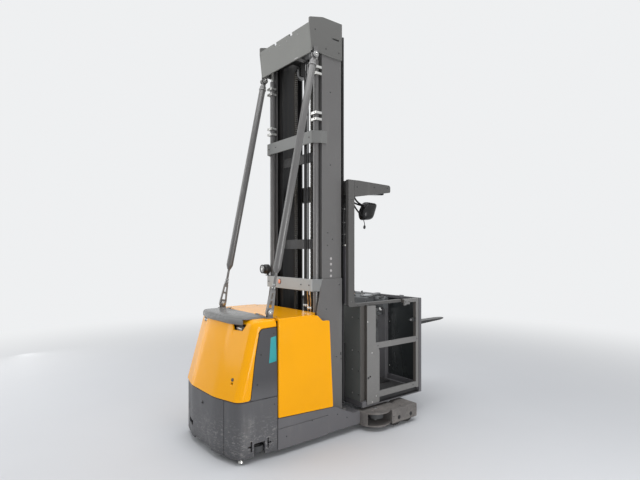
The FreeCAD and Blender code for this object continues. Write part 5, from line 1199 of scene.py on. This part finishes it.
def make_gate_fittings():
    """Latch, screws, a black disc of painted shade for the hinge hole, and stops of the side gates."""
    for side in SIDES:
        node = "side_gate_right" if side > 0 else "side_gate_left"
        kit = Kit(node + "_parts", node)
        kit.screws(node, side, ((1066, 975), (1123, 680), (1178, 267), (1126, 220)), 6.5, "bright")
        kit.screws(node, side, ((1200, 738), (1760, 740), (1700, 281)), 5.5)
        # Painted shade: a flat black disc stands for the dark hinge hole.
        hole = touch(node, side * BESIDE, 1075, 453, (-side, 0, 0))
        kit.turned("black", *hole, [(11, -1), (11, 0.8), (8, 1)], 28)
        kit.block("gate", (side * 499.5, 1572, 1098), (side * 504, 1648, 1149), 2)
        for y in (1586, 1634):
            kit.screw((side * 504, y, 1124), (side, 0, 0), 6, "dark")
        kit.block("dark", (side * 470, 1694, 916), (side * 490, 1748, 954), 3)
        kit.block("zinc", (side * 473, 1676, 926), (side * 487, 1698, 944), 3)
        kit.turned("black", (side * 480, 1680, 936), BACK, [(6, 0), (9, 5), (9, 14), (5, 19)], 20)
        kit.block("rubber", (side * 470, 1640, 246), (side * 490, 1690, 254), 2)
        kit.done()


# Chassis, battery and drive unit

LOAD_AXLES_Y, LOAD_AXLE_Z = (1315, 1477), 75
BATTERY_RIM_X, BATTERY_TOP = (414, 420), 903
CELLS_X, CELLS_Y, CELL_PITCH = -300, 200, (120, 118)
DRIVE_Y, DRIVE_BOLTS_R, TERMINALS_R = -92, 128, 58


def make_chassis_fittings():
    """Axle heads and roller pin caps of the load arms."""
    kit = Kit("arm_fittings")
    for side in SIDES:
        for y in LOAD_AXLES_Y:
            spot, out = touch("load_arms", side * 900, y + 26, LOAD_AXLE_Z + 24, (-side, 0, 0))
            place = (spot[0], y, LOAD_AXLE_Z + 10)
            kit.turned("dark", place, out, [(19, -1), (19, 1.5), (16, 2.5), (11, 2.5), (10, 0.5)], 32)
            # Painted shade: a black hexagon in the head's recess stands for its dark socket.
            kit.turned("black", place, out, [(9.5, 0.2), (9.5, 1.2)], 6)
        cap = touch("load_arms", side * 520, 1144, 400, DOWN)
        kit.turned("zinc", *cap, [(17, -1), (17, 2), (14, 4), (8, 4)], 32)
        plug = touch("load_arms", side * 600, 1395, 400, DOWN)
        kit.turned("dark", *plug, [(9, -1), (9, 1), (6, 1.6)], 20)
        kit.bolts("load_arms", side, ((1240, 108), (1540, 140)), 6)
    kit.done()


def make_battery_fittings():
    """Ribs and lifting eyes of the battery's tray, connectors with leads, cells and their bridges."""
    kit = Kit("battery_parts")
    for side in SIDES:
        x0, x1 = sorted(side * x for x in BATTERY_RIM_X)
        for y in (190, 262, 334, 406, 462):
            kit.block("dark", (x0, y - 9, 300), (x1, y + 9, 820), 3)
        for y in (226, 434):
            kit.block("black", (x0 - 1, y - 26, 850), (x1 - 1, y + 26, 878), 4)
            kit.block("zinc", (x0, y - 32, 844), (x1 - 3, y + 32, 849))
        kit.block("red", (side * 380 - 26, 296, 905), (side * 380 + 26, 356, 940), 4)
        for dx in (-14, 14):
            route = ((380, 356, 922), (380, 400, 930), (350, 440, 924), (320, 462, 912))
            kit.pipe("hose", [(side * x + dx, y, z) for x, y, z in route], 8)
    for i in range(6):
        for j in range(3):
            x, y, z = CELLS_X + CELL_PITCH[0] * i, CELLS_Y + CELL_PITCH[1] * j, BATTERY_TOP
            kit.block("black", (x - 54, y - 52, z), (x + 54, y + 52, z + 9), 4)
            kit.turned("yellow", (x, y, z + 9), UP, [(14, -1), (14, 5), (10, 8), (3, 8.4)], 16)
            end = x + 92 if i < 5 else x + 46
            kit.block("rubber", (x + 28, y - 14, z + 8), (end, y + 14, z + 16), 2.5)
    kit.done()


def make_drive_fittings():
    """Bolt circle, motor rings, terminals and the brake on the drive unit."""
    kit = Kit("drive_parts", "steer_unit")

    def round_axis(radius, angle):
        return radius * math.cos(angle), DRIVE_Y + radius * math.sin(angle)

    for i in range(12):
        x, y = round_axis(DRIVE_BOLTS_R, 2.0 * math.pi * i / 12)
        kit.bolt((x, y, 480), UP, 7, "bright", 10 * i)
    for i in range(11):
        ring = [(104, 0), (109, 1.5), (109, 8), (104, 9.5)]
        kit.turned("dark", (0, DRIVE_Y, 520 + 26 * i), UP, ring, 40)
    brake = [(84, 0), (84, 6), (70, 9), (40, 9), (38, 14), (20, 15)]
    kit.turned("zinc", (0, DRIVE_Y, 859), UP, brake, 40)
    for i in range(3):
        x, y = round_axis(TERMINALS_R, math.radians(90.0 + 120.0 * i))
        kit.turned("bright", (x, y, 866), UP, [(9, 0), (9, 3), (5, 4), (5, 11)], 16)
        kit.bolt((x, y, 870), UP, 7)
    kit.done()


# Forks and wheels

LIFT_Y = 1850
IN_FRONT = 2400


def make_fork_fittings():
    """Lift cylinder of the forks on the cab, hooks and bolts on the fork carriage."""
    kit = Kit("fork_lift_parts", "cab")
    barrel = [(24, 0), (25, 4), (25, 860), (29, 864), (29, 886), (22, 892)]
    kit.turned("stay", (0, LIFT_Y, 200), UP, barrel, 32)
    kit.turned("bright", (0, LIFT_Y, 1088), UP, [(14, 0), (14, 40), (10, 42)])
    kit.block("dark", (-30, 1830, 192), (30, 1872, 204), 2)
    kit.done()
    kit = Kit("fork_carriage_parts", "fork_carriage")
    for x in (-240, 240):
        for z in (1096, 900):
            kit.turned("zinc", *touch("forks", x, IN_FRONT, z, BACK), [(13, -1), (13, 2), (10, 4), (5, 4)])
    for x in (-130, 130):
        for z in (1090, 900):
            kit.bolt(*touch("fork_carriage", x, IN_FRONT, z, BACK), 8, "dark", chance_turn())
    kit.done()


# Start of the node's name: axis of the wheel, radius of its hub plate, hole in the plate, steps
HUBS = {
    "guide_roller": (2, 34, 19, 32),
    "load_wheel": (0, 34, 18, 40),
    "drive_wheel": (0, 92, 30, 40),
}
HUB_NUTS, HUB_NUTS_R = 5, 60


def make_wheel_hubs():
    """Hub caps, rims and nuts of the wheels and rollers."""
    for node in sorted(frame["nodes"]):
        kind = next((start for start in HUBS if node.startswith(start)), None)
        if kind is None:
            continue
        axis, hub, hole, steps = HUBS[kind]
        low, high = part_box(node)
        centre = (low + high) / 2.0
        point = (centre.x / MM, (centre.y - SEAM_Y) / MM, centre.z / MM)
        half = (high[axis] - low[axis]) / MM / 2.0
        kit = Kit(node + "_hub", node)
        for way in (1, -1):
            out = tuple(way if i == axis else 0 for i in range(3))
            face = tuple(point[i] + out[i] * half for i in range(3))
            kit.turned("zinc", face, out, [(hub, -1), (hub, 0.8), (hub - 3, 1.6), (hole, 1.6)], steps)
            if kind == "drive_wheel":
                for i in range(HUB_NUTS):
                    angle = 2.0 * math.pi * i / HUB_NUTS
                    y = point[1] + HUB_NUTS_R * math.cos(angle)
                    z = point[2] + HUB_NUTS_R * math.sin(angle)
                    kit.bolt((face[0] + way * 1.4, y, z), out, 9)
        kit.done()


for make in (make_body_fittings, make_cover_fittings, make_mast_fittings, make_mast_lines, make_lamp,
             make_guard_fittings, make_cab_fittings, make_console, make_gate_fittings, make_chassis_fittings,
             make_battery_fittings, make_drive_fittings, make_fork_fittings, make_chains, make_mirror,
             make_wheel_hubs):
    make()

bpy.context.scene.view_settings.view_transform = "Standard"
